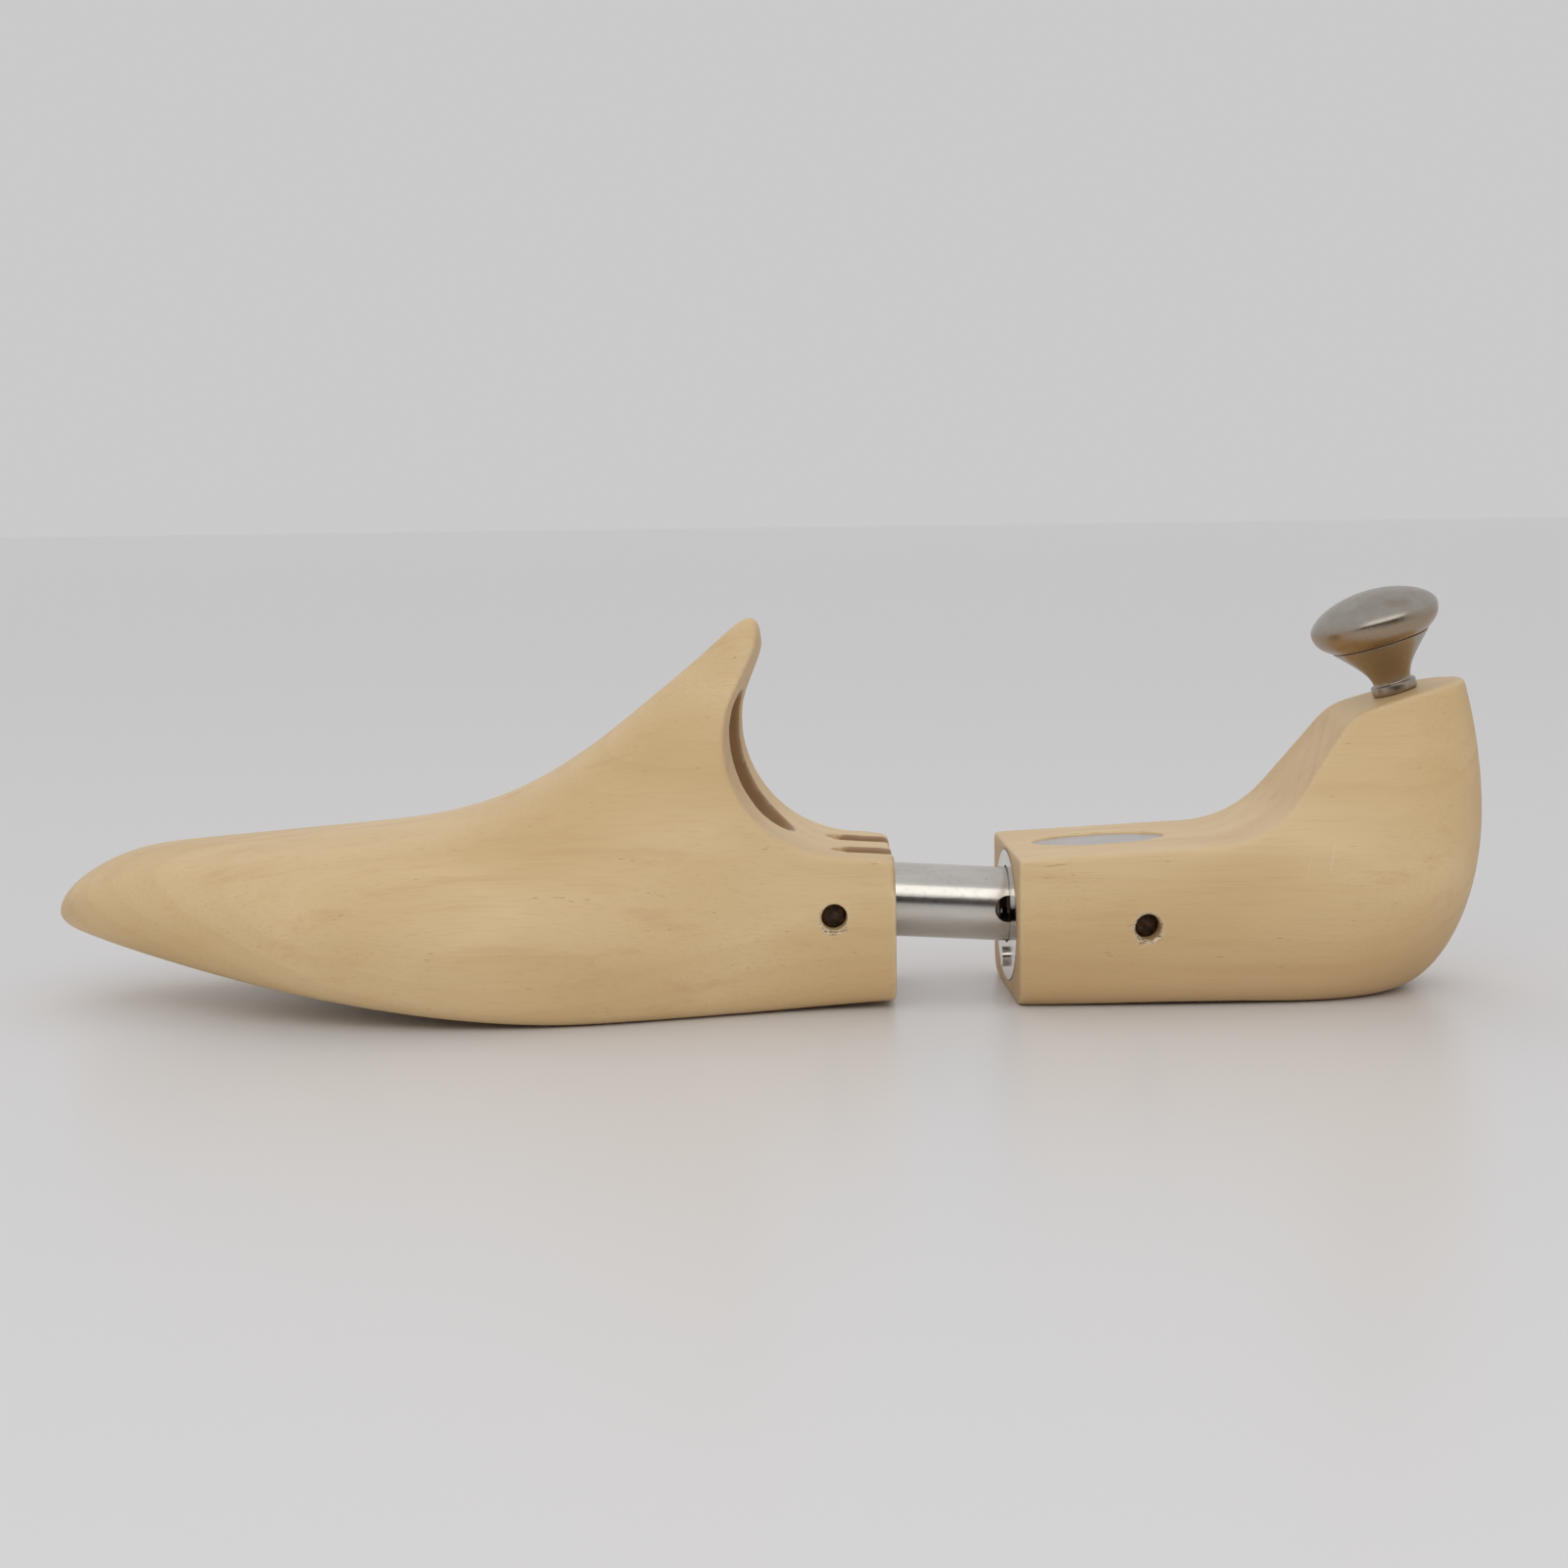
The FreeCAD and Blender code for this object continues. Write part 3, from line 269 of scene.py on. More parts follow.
def pale_wood(name, marks, spots, sole_shade_share):
    """Satin pale hardwood: growth layers, fibres, flecks, pores, end grain, worn edges with a painted
    highlight, painted shade in its hollows, milled cuts and towards its sole, and marks.
    """
    look = Look(name, Specular_IOR_Level=0.50, IOR=1.50)
    swirl = look.noise(look.turned(GRAIN_TURN, (5.0, 16.0, 16.0)), 1.0, 3.0, 0.55)

    # Growth layers: distance from a far axis along the fibres, bent by slow noise.
    grain = look.split(look.turned(GRAIN_TURN))
    side = look.maths("SUBTRACT", grain["Y"], PITH_Y)
    rise = look.maths("SUBTRACT", grain["Z"], PITH_Z)
    distance = look.maths("SQRT", look.maths("ADD", look.maths("MULTIPLY", side, side),
                                             look.maths("MULTIPLY", rise, rise)))
    bent = look.maths("MULTIPLY_ADD", swirl, RING_WANDER * RING_WIDTH, distance)
    phase = look.maths("MULTIPLY", bent, 1.0 / RING_WIDTH)
    saw = look.maths("FRACT", phase)
    layer = look.node("TexNoise", {"W": look.maths("FLOOR", phase), "Scale": 3.7, "Detail": 0.0},
                      noise_dimensions="1D")
    late = look.band(saw, 0.30, 0.98)
    early = look.band(saw, 0.0, 0.10)
    ring = look.maths("MULTIPLY", late, look.maths("SUBTRACT", 1.0, look.band(saw, 0.97, 1.0)))
    ring = look.maths("MULTIPLY", ring, look.band(layer, 0.30, 0.75))

    # Slow changes of tone, streaks along the fibres, and fine fibres.
    broad = look.noise(look.turned(GRAIN_TURN, (9.0, 26.0, 26.0)), 1.0, 2.0)
    streak = look.noise(look.turned(GRAIN_TURN, (7.0, 210.0, 210.0)), 1.0, 4.0, 0.6)
    fibre = look.noise(look.turned(GRAIN_TURN, (60.0, 2300.0, 2300.0)), 1.0, 3.0, 0.6)
    base = look.ramp(broad, (0.30, WOOD_MID), (0.50, WOOD_LIGHT), (0.72, WOOD_MID))
    pink = look.band(streak, 0.52, 0.78)
    base = look.tint(base, pink, 0.70, WOOD_PINK)
    base = look.tint(base, ring, 0.20, WOOD_DEEP)
    base = look.tint(base, look.band(fibre, 0.46, 0.78), 0.36, WOOD_DEEP)

    # Short ray flecks in patches, and few fine pores.
    cells = look.turned(GRAIN_TURN, (520.0, 2600.0, 1250.0))
    dash = look.node("TexVoronoi", {"Vector": cells, "Scale": 1.0, "Randomness": 1.0}, "Distance")
    patches = look.noise(look.turned((0.0, 0.0, 0.0), (14.0, 20.0, 34.0)), 1.0)
    patch = look.band(patches, 0.46, 0.66)
    fleck = look.maths("MULTIPLY", look.band(dash, 0.36, 0.12), patch)
    base = look.tint(base, fleck, 0.30, WOOD_DEEP)
    holes = look.turned(GRAIN_TURN, (210.0, 1500.0, 1500.0))
    pore = look.node("TexVoronoi", {"Vector": holes, "Scale": 1.0}, "Distance")
    seed = look.noise(holes, 0.37, 0.0)
    pores = look.maths("MULTIPLY", look.band(pore, 0.22, 0.08), look.band(seed, 0.66, 0.74))
    base = look.tint(base, pores, 0.55, WOOD_PORE)

    # End grain where the surface faces along the fibres: darker and open.
    normal = look.split(look.node("TexCoord", {}, "Normal"))
    facing = look.maths("ABSOLUTE", normal["X"])
    end = look.band(facing, 0.55, 0.98)
    rings_end = look.mix(look.maths("MULTIPLY", ring, 0.5), WOOD_END, WOOD_PORE)
    base = look.tint(base, end, 0.42, rings_end)

    # Edges a little paler, partly from wear and partly as a painted highlight; hollows a little darker,
    # as painted shade.
    sharp = look.node("NewGeometry", {}, "Pointiness")
    worn_highlit_edge = look.band(sharp, 0.506, 0.545)
    hollow = look.band(sharp, 0.488, 0.45)
    base = look.tint(base, worn_highlit_edge, 0.42, WOOD_TORN_AND_HIGHLIGHT)
    base = look.tint(base, hollow, 0.35, WOOD_DEEP)

    # Milled hollows: painted shade, darker and browner inside the pocket and the deck grooves.
    cut_shade = look.node("Attribute", {}, "Fac", attribute_name="cut_shade")
    base = look.tint(base, cut_shade, 0.78, WOOD_CUT_SHADE)

    # Painted shade that darkens the wood towards its sole.
    sole_shade = look.band(look.split(look.place)["Z"], SOLE_SHADE_HEIGHT, 0.0)
    base = look.tint(base, sole_shade, sole_shade_share, WOOD_SOLE_SHADE)

    # Torn fibres round the pin holes.
    torn = look.node("Attribute", {}, "Fac", attribute_name="torn")
    fray = look.noise(look.turned((0.0, 35.0, 0.0), (500.0, 2600.0, 2600.0)), 1.0, 3.0)
    fray_colour = look.ramp(fray, (0.40, STAIN), (0.52, WOOD_TORN_AND_HIGHLIGHT), (0.75, WOOD_TORN_AND_HIGHLIGHT))
    base = look.mix(torn, base, fray_colour)

    # Marks of use on the near side.
    front = look.band(normal["Y"], 0.0, -0.3)
    for start, finish, width, strength, colour in marks:
        mask = look.maths("MULTIPLY", segment_mask(look, start, finish, width), strength)
        base = look.tint(base, mask, front, colour)
    for centre, radius, strength, colour in spots:
        base = look.tint(base, spot_mask(look, centre, radius), strength, colour)

    # Satin: roughness follows fibres and smears; fibres, layers and pores stand in the bump.
    smear = look.noise(look.turned((0.0, 12.0, 0.0), (22.0, 60.0, 60.0)), 1.0, 4.0, 0.6)
    rough = look.maths("MULTIPLY_ADD", smear, 0.14, 0.30)
    rough = look.maths("MULTIPLY_ADD", fibre, 0.10, rough)
    rough = look.maths("MULTIPLY_ADD", end, 0.10, rough)
    bump = look.grain_bump(fibre, FIBRE_BUMP)
    bump = look.grain_bump(ring, LATE_RING_BUMP, bump)
    bump = look.grain_bump(look.maths("SUBTRACT", 1.0, pores), PORE_BUMP, bump)
    bump = look.grain_bump(look.maths("MULTIPLY", fray, torn), TORN_BUMP, bump)
    bump = look.grain_bump(early, EARLY_RING_BUMP, bump)
    look.paint(Base_Color=base, Roughness=rough, Normal=bump)
    return look.material


# ---------------------------------------------------------------- metals

TUBE_SLOPE = 3.6
TUBE_STAIN = (0.40, 0.37, 0.33)
# Painted shade in the knob's hollows.
KNOB_HOLLOW_SHADE = (0.16, 0.11, 0.07)
KNOB_PIT = (0.20, 0.15, 0.10)
PLATE_SPECK = (0.25, 0.22, 0.18)


def brushed(look, way_turn, length_scale, cross_scale):
    """Noise drawn out along one direction of the object."""
    return look.noise(look.turned(way_turn, (length_scale, cross_scale, cross_scale)), 1.0, 4.0, 0.6)


def drawn_nickel(name, slope):
    """Nickel-plated drawn tube: fine lines along it, faint mottling and handling smears."""
    look = Look(name, Metallic=1.0)
    lines = brushed(look, (0.0, slope, 0.0), 14.0, 2600.0)
    mottle = look.noise(look.place, 900.0, 4.0, 0.7)
    smear = look.noise(look.turned((0.0, 20.0, 0.0), (60.0, 160.0, 160.0)), 1.0, 3.0)
    colour = look.ramp(smear, (0.35, (0.64, 0.610, 0.555)), (0.65, (0.74, 0.715, 0.670)))
    colour = look.tint(colour, look.band(mottle, 0.56, 0.74), 0.35, TUBE_STAIN)
    rough = look.maths("MULTIPLY_ADD", smear, 0.10, 0.10)
    rough = look.maths("MULTIPLY_ADD", mottle, 0.12, rough)
    bump = look.grain_bump(lines, 0.000004)
    bump = look.grain_bump(mottle, 0.000009, bump)
    look.paint(Base_Color=colour, Roughness=rough, Normal=bump)
    return look.material


def aged_nickel(name, wood_reflection_share, wood_reflection_colour):
    """Old polished nickel: worn highlights, tiny pits, a painted brown reflection of the wood where it
    faces down or over a given share of it, and painted shade where it is hollow.
    """
    look = Look(name, Metallic=1.0)
    cloud = look.noise(look.place, 210.0, 5.0, 0.62)
    fine = look.noise(look.place, 1700.0, 4.0, 0.65)
    pits = look.node("TexVoronoi", {"Vector": look.place, "Scale": 900.0}, "Distance")
    pit = look.maths("MULTIPLY", look.band(pits, 0.16, 0.05), look.band(cloud, 0.50, 0.62))
    colour = look.ramp(cloud, (0.30, (0.38, 0.335, 0.28)), (0.52, (0.43, 0.400, 0.35)),
                       (0.74, (0.49, 0.465, 0.42)))
    normal = look.split(look.node("TexCoord", {}, "Normal"))
    # Painted reflection of the wood: brown where the metal faces down, and over a given share of the
    # whole piece.
    under = look.maths("MAXIMUM", look.band(normal["Z"], 0.55, -0.25), wood_reflection_share)
    colour = look.tint(colour, under, 0.85, wood_reflection_colour)
    # Painted shade in the hollows.
    hollow = look.band(look.node("NewGeometry", {}, "Pointiness"), 0.49, 0.42)
    colour = look.tint(colour, hollow, 0.75, KNOB_HOLLOW_SHADE)
    colour = look.tint(colour, pit, 0.8, KNOB_PIT)
    rough = look.maths("MULTIPLY_ADD", cloud, 0.24, 0.12)
    rough = look.maths("MULTIPLY_ADD", fine, 0.12, rough)
    bump = look.grain_bump(fine, 0.000006)
    bump = look.grain_bump(cloud, 0.00003, bump)
    bump = look.grain_bump(look.maths("SUBTRACT", 1.0, pit), 0.00003, bump)
    look.paint(Base_Color=colour, Roughness=rough, Normal=bump)
    return look.material


def dark_pin(name):
    """Dull steel pin, brown with age."""
    look = Look(name, Metallic=0.85)
    rust = look.noise(look.place, 620.0, 5.0, 0.65)
    colour = look.ramp(rust, (0.36, (0.030, 0.022, 0.017)), (0.52, (0.085, 0.052, 0.032)),
                       (0.68, (0.19, 0.105, 0.055)))
    rough = look.maths("MULTIPLY_ADD", rust, 0.35, 0.28)
    look.paint(Base_Color=colour, Roughness=rough, Normal=look.grain_bump(rust, 0.00004))
    return look.material


def polished_plate(name, turn, dark, bright, polish):
    """Thin plate between two tones, with fine brushing one way and a few smears."""
    look = Look(name, Metallic=1.0)
    lines = brushed(look, turn, 40.0, 3600.0)
    smear = look.noise(look.place, 130.0, 4.0, 0.6)
    speck = look.noise(look.place, 2400.0, 2.0)
    colour = look.ramp(smear, (0.35, dark), (0.65, bright))
    colour = look.tint(colour, look.band(speck, 0.68, 0.76), 0.5, PLATE_SPECK)
    rough = look.maths("MULTIPLY_ADD", lines, 0.8 * polish, polish)
    rough = look.maths("MULTIPLY_ADD", smear, 0.6 * polish, rough)
    look.paint(Base_Color=colour, Roughness=rough, Normal=look.grain_bump(lines, 0.000002))
    return look.material


def spring_wire(name):
    """Oiled dark spring wire with fine drawing marks."""
    look = Look(name, Metallic=1.0)
    oil = look.noise(look.place, 340.0, 4.0, 0.6)
    fine = look.noise(look.place, 2600.0, 3.0)
    colour = look.ramp(oil, (0.35, (0.20, 0.16, 0.12)), (0.65, (0.38, 0.34, 0.29)))
    rough = look.maths("MULTIPLY_ADD", oil, 0.25, 0.22)
    look.paint(Base_Color=colour, Roughness=rough, Normal=look.grain_bump(fine, 0.000006))
    return look.material


# ---------------------------------------------------------------- mesh helpers

def piece_from(mesh, name, body, slot, material, *nodes):
    """A new piece that rides on a body and stands for CAD nodes."""
    piece = bpy.data.objects.new(name, mesh)
    bpy.context.scene.collection.objects.link(piece)
    mesh.materials.clear()
    mesh.materials.append(material)
    mesh.polygons.foreach_set("use_smooth", [True] * len(mesh.polygons))
    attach(piece, body)
    if nodes:
        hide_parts(*nodes)
    return piece


def remeshed(node, voxel):
    """A CAD node's solid as an even mesh of small quads."""
    carrier = bpy.data.objects.new("carrier", NODES[node].data.copy())
    bpy.context.scene.collection.objects.link(carrier)
    modifier = carrier.modifiers.new("even", "REMESH")
    modifier.mode = "VOXEL"
    modifier.voxel_size = voxel
    graph = bpy.context.evaluated_depsgraph_get()
    mesh = bpy.data.meshes.new_from_object(carrier.evaluated_get(graph))
    bpy.data.objects.remove(carrier)
    return mesh


def step(values, low, high):
    """Smooth step from 0 at low to 1 at high, which may be the smaller one."""
    share = np.clip((values - low) / (high - low), 0.0, 1.0)
    return share * share * (3.0 - 2.0 * share)


def round_edges(mesh, points, weights, rounds):
    """Even out the mesh point by point, which rounds its edges; a weight of 0 holds a point."""
    pairs = np.empty(len(mesh.edges) * 2, dtype=np.int64)
    mesh.edges.foreach_get("vertices", pairs)
    first, second = pairs[0::2], pairs[1::2]
    count = len(points)
    degree = np.bincount(pairs, minlength=count)
    for _ in range(rounds):
        for axis in range(3):
            column = points[:, axis]
            total = np.bincount(first, column[second], count)
            total = total + np.bincount(second, column[first], count)
            points[:, axis] = column + 0.5 * weights * (total / degree - column)
    return points


def finished(mesh, name):
    """A closed bmesh turned into mesh data with its faces outwards."""
    bmesh.ops.recalc_face_normals(mesh, faces=mesh.faces)
    data = bpy.data.meshes.new(name)
    mesh.to_mesh(data)
    mesh.free()
    return data


def oval_distance(across, along, half_across, half_along):
    """Rough distance outside an oval; negative inside."""
    radius = np.sqrt((across / half_across) ** 2 + (along / half_along) ** 2)
    return (radius - 1.0) * min(half_across, half_along)


# ---------------------------------------------------------------- the two wooden blocks

VOXEL = 0.5 * MM
WIDEST_RADIUS = 3.6 * MM
# Evening out a mesh of small quads rounds a square edge like a fillet; this ties its steps to a radius.
STEPS_PER_SQUARE = 2.16


def rounding_steps():
    """Steps of evening out that give an edge the widest radius."""
    return int(math.ceil(STEPS_PER_SQUARE * (WIDEST_RADIUS / VOXEL) ** 2))


# Torn rims: waves of the outline round the hole, and how the chips vary round it and outwards.
TEAR_WAVES = (5, 9, 14, 23)
CHIP_DEPTH = 0.30
CHIP_WAVES = 31.0
CHIP_TWIST = 3.6


def torn_rim(points, pin, seed, reach_out, low_share):
    """Torn fibres at a pin hole: how torn each point is, and how far it is chipped."""
    rng = np.random.default_rng(seed)
    away = points - np.array(pin)
    radius = np.hypot(away[:, 0], away[:, 2])
    angle = np.arctan2(away[:, 2], away[:, 0])
    ragged = np.zeros(len(points))
    for count in TEAR_WAVES:
        ragged += np.sin(count * angle + rng.uniform(0.0, 6.283)) / math.sqrt(count)
    lower = 0.5 - 0.5 * np.sin(angle + rng.uniform(-0.3, 0.3))
    width = reach_out * (low_share + (1.0 - low_share) * lower ** 2) * (0.75 + 0.35 * ragged)
    torn = 1.0 - step(radius - PIN_RADIUS, 0.35 * width, np.maximum(width, 0.05 * MM) + 0.1 * MM)
    torn[radius < PIN_RADIUS * 0.9] = 0.0
    waves = np.sin(CHIP_WAVES * angle + CHIP_TWIST * radius / MM)
    chip = torn * (CHIP_DEPTH + CHIP_DEPTH * waves) * MM
    return torn, chip


def tear_holes(points, pin, seed, reach_out, low_share):
    """Chip both rims of a pin hole and say how torn each point is."""
    torn, chip = torn_rim(points, pin, seed, reach_out, low_share)
    radius = np.hypot(points[:, 0] - pin.x, points[:, 2] - pin.z)
    near = radius < PIN_RADIUS + 3.0 * MM
    at_surface = np.zeros(len(points))
    for side in (-1.0, 1.0):
        out = points[:, 1] * side
        outer = out[near].max()
        at_surface += near * step(out, outer - 1.6 * MM, outer - 0.6 * MM)
    points[:, 1] -= np.sign(points[:, 1]) * chip * at_surface
    return torn * at_surface


def wooden_block(node, name, body, material, edge_radius, cut_in, fill, torn_pin):
    """A carved block with edges rounded to a radius at each point, and torn rims at its pin hole."""
    mesh = remeshed(node, VOXEL)
    points = points_of(mesh)
    # Where the painted shade in the milled cuts goes.
    cut_shade = cut_in(points)
    points[:, 0] += fill(mesh, points)
    weights = (edge_radius(points) / WIDEST_RADIUS) ** 2
    points = round_edges(mesh, points, weights, rounding_steps())
    pin, seed, reach_out, low_share = torn_pin
    torn = tear_holes(points, pin, seed, reach_out, low_share)
    mesh.vertices.foreach_set("co", points.astype(np.float32).ravel())
    for title, values in (("torn", torn), ("cut_shade", cut_shade)):
        attribute = mesh.attributes.new(title, "FLOAT", "POINT")
        attribute.data.foreach_set("value", values.astype(np.float32))
    mesh.update()
    piece_from(mesh, name, body, "pale_wood", material, node)


def blended(first, second, share):
    """Values that go from first to second with a share."""
    return first + (second - first) * share


def near_pin(points, radius, pin):
    """The edge radius, brought down to almost nothing at a pin hole and at the tube's bore."""
    hole = off_axis(points, pin, PIN_WAY)
    radius = blended(HOLE_EDGE, radius, step(hole, PIN_RADIUS + 0.3 * MM, PIN_RADIUS + 1.5 * MM))
    bore = off_axis(points, TUBE_MIDDLE, TUBE_WAY)
    return blended(HOLE_EDGE, radius, step(bore, TUBE_RADIUS + 0.3 * MM, TUBE_RADIUS + 1.4 * MM))


HOLE_EDGE = 0.12 * MM
INLAY_EDGE = 0.20 * MM
CUT_EDGE = 0.28 * MM
CREST_EDGE = 1.8 * MM
HOLLOW_EDGE = 1.2 * MM
REAR_EDGE = 0.7 * MM
DECK_REAR_EDGE = 2.4 * MM
PEAK_EDGE = 3.0 * MM
PEAK_FILL = 2.0 * MM
HEEL_EDGE = 1.0 * MM
HEEL_FRONT_EDGE = 1.1 * MM
HEEL_TOP_EDGE = 1.4 * MM
# The pocket in the ridge's hollow face and the two deck grooves.
POCKET_MIDDLE = Vector((FORE_REAR_X - 28.6 * MM, 0.0, 50.5 * MM))
POCKET_LEAN = math.radians(20.0)
POCKET_HALF_WIDTH = 7.75 * MM
POCKET_HALF_STRAIGHT = 8.25 * MM
SCOOP_SKEW = math.radians(-9.5)
GROOVE_SIDE = 9.0 * MM
GROOVE_HALF_WIDTH = 4.2 * MM
GROOVE_LENGTH = 14.0 * MM
DECK_LOW = 26.0 * MM


def pocket_distance(points):
    """Distance outside the pocket's round-ended outline, seen along the pocket's depth."""
    along = Vector((-math.sin(POCKET_LEAN), 0.0, math.cos(POCKET_LEAN)))
    across = Vector((0.0, 1.0, 0.0))
    skew = Matrix.Rotation(SCOOP_SKEW, 3, "Z")
    offset = points - np.array(POCKET_MIDDLE)
    up = offset @ np.array(skew @ along)
    side = offset @ np.array(skew @ across)
    past = np.maximum(np.abs(up) - POCKET_HALF_STRAIGHT, 0.0)
    return np.hypot(past, side) - POCKET_HALF_WIDTH


def groove_distance(points):
    """Distance outside the nearer deck groove's round-ended outline, seen from above."""
    side = np.abs(points[:, 1]) - GROOVE_SIDE
    past = np.maximum(FORE_REAR_X - GROOVE_LENGTH + GROOVE_HALF_WIDTH - points[:, 0], 0.0)
    return np.hypot(past, side) - GROOVE_HALF_WIDTH


def in_scoop(points):
    """1 in the ridge's hollow face and behind it, 0 in front of it."""
    return step(points[:, 0], POCKET_MIDDLE.x - 14.0 * MM, POCKET_MIDDLE.x - 12.0 * MM)


def along_grooves(points):
    """1 over the length of the deck grooves, 0 in front of it."""
    return step(points[:, 0], FORE_REAR_X - 16.0 * MM, FORE_REAR_X - 15.0 * MM)


def inside_cut(distance):
    """1 within an outline and on its wall, 0 outside."""
    return step(distance, 0.45 * MM, 0.15 * MM)


def fore_edges(points):
    """Edge radius over the forepart."""
    high = points[:, 2]
    radius = np.full(len(points), CREST_EDGE)
    hollow = step(points[:, 0], POCKET_MIDDLE.x - 9.0 * MM, POCKET_MIDDLE.x - 5.0 * MM)
    radius = blended(radius, HOLLOW_EDGE, hollow)
    radius = blended(radius, PEAK_EDGE, step(high, 74.0 * MM, 80.0 * MM))
    rear = step(points[:, 0], FORE_REAR_X - 5.0 * MM, FORE_REAR_X - 3.0 * MM)
    deck = step(high, DECK_LOW - 2.0 * MM, DECK_LOW)
    radius = blended(radius, blended(REAR_EDGE, DECK_REAR_EDGE, deck), rear)
    pocket = (1.0 - step(np.abs(pocket_distance(points)), 0.8 * MM, 1.8 * MM)) * in_scoop(points)
    inner = step(np.abs(points[:, 1]), 13.0 * MM, 11.0 * MM)
    radius = blended(radius, CUT_EDGE, pocket * inner * step(high, 30.0 * MM, 32.0 * MM))
    on_deck = deck * along_grooves(points)
    on_deck *= step(points[:, 0], FORE_REAR_X, FORE_REAR_X - 2.5 * MM)
    groove = (1.0 - step(np.abs(groove_distance(points)), 0.7 * MM, 1.6 * MM)) * on_deck
    radius = blended(radius, CUT_EDGE, groove)
    return near_pin(points, radius, FORE_PIN)


def fore_cuts(points):
    """1 inside the pocket and the deck grooves, 0 outside them."""
    high = points[:, 2]
    pocket = inside_cut(pocket_distance(points)) * in_scoop(points)
    pocket *= step(high, 30.0 * MM, 31.0 * MM)
    groove = inside_cut(groove_distance(points)) * step(high, DECK_LOW - 1.0 * MM, DECK_LOW)
    groove *= along_grooves(points)
    return np.maximum(pocket, groove)


def no_cuts(points):
    """The heel has no milled hollows in sight."""
    return np.zeros(len(points))


def fuller_peak(mesh, points):
    """How far the ridge's hollow side moves back near its top, so that its rounded peak stays full."""
    normals = np.empty(len(points) * 3)
    mesh.vertices.foreach_get("normal", normals)
    faces_back = step(normals[0::3], -0.1, 0.35)
    return PEAK_FILL * faces_back * step(points[:, 2], 62.0 * MM, 77.0 * MM)


def no_fill(mesh, points):
    """The heel keeps its faces where they are."""
    return np.zeros(len(points))


def heel_edges(points):
    """Edge radius over the heel."""
    radius = np.full(len(points), HEEL_EDGE)
    radius = blended(radius, HEEL_TOP_EDGE, step(points[:, 2], 62.0 * MM, 68.0 * MM))
    back = points[:, 0] - HEEL_FRONT_X
    front = step(back, 3.5 * MM, 2.0 * MM)
    radius = blended(radius, HEEL_FRONT_EDGE, front)
    half = (PLATE_HIGH - PLATE_LOW) / 2.0
    plate = oval_distance(points[:, 1] - PLATE.y, points[:, 2] - PLATE.z, half.y, half.z)
    radius = blended(radius, INLAY_EDGE, front * step(plate, 1.0 * MM, 0.3 * MM))
    half = (NAME_HIGH - NAME_LOW) / 2.0
    name = oval_distance(points[:, 1] - NAME.y, points[:, 0] - NAME.x, half.y, half.x)
    deck = step(points[:, 2], NAME.z - 3.0 * MM, NAME.z - 2.0 * MM)
    radius = blended(radius, INLAY_EDGE, deck * step(name, 1.5 * MM, 0.6 * MM))
    stud = off_axis(points, KNOB_AXIS, KNOB_WAY)
    radius = blended(INLAY_EDGE, radius, step(stud, 3.0 * MM, 4.5 * MM))
    return near_pin(points, radius, HEEL_PIN)


# ---------------------------------------------------------------- turned metal pieces

def bezier(start, hold_start, hold_end, end, count):
    """Points of a cubic curve in (radius, height), without its first point."""
    share = np.linspace(0.0, 1.0, count + 1)[1:, None]
    left = 1.0 - share
    poles = [np.array(pole) for pole in (start, hold_start, hold_end, end)]
    curve = (left ** 3 * poles[0] + 3.0 * left ** 2 * share * poles[1]
             + 3.0 * left * share ** 2 * poles[2] + share ** 3 * poles[3])
    return [tuple(point) for point in curve]


def lathe(profile, origin, way, segments=144):
    """Closed mesh turned round an axis from (radius, height) points; ends on the axis are capped."""
    mesh = bmesh.new()
    turn = Vector((0.0, 0.0, 1.0)).rotation_difference(way).to_matrix().to_4x4()
    place = Matrix.Translation(origin) @ turn
    rows = []
    for radius, height in profile:
        if radius < 1e-7:
            rows.append([mesh.verts.new(place @ Vector((0.0, 0.0, height)))])
            continue
        row = []
        for index in range(segments):
            angle = 2.0 * math.pi * index / segments
            point = Vector((radius * math.cos(angle), radius * math.sin(angle), height))
            row.append(mesh.verts.new(place @ point))
        rows.append(row)
    pairs = list(zip(rows, rows[1:]))
    if len(rows[0]) > 1:
        pairs.append((rows[-1], rows[0]))
    for low, high in pairs:
        for index in range(segments):
            following = (index + 1) % segments
            if len(low) == 1 and len(high) == 1:
                continue
            if len(low) == 1:
                mesh.faces.new((low[0], high[following], high[index]))
            elif len(high) == 1:
                mesh.faces.new((low[index], low[following], high[0]))
            else:
                mesh.faces.new((low[index], low[following], high[following], high[index]))
    return finished(mesh, "turned")


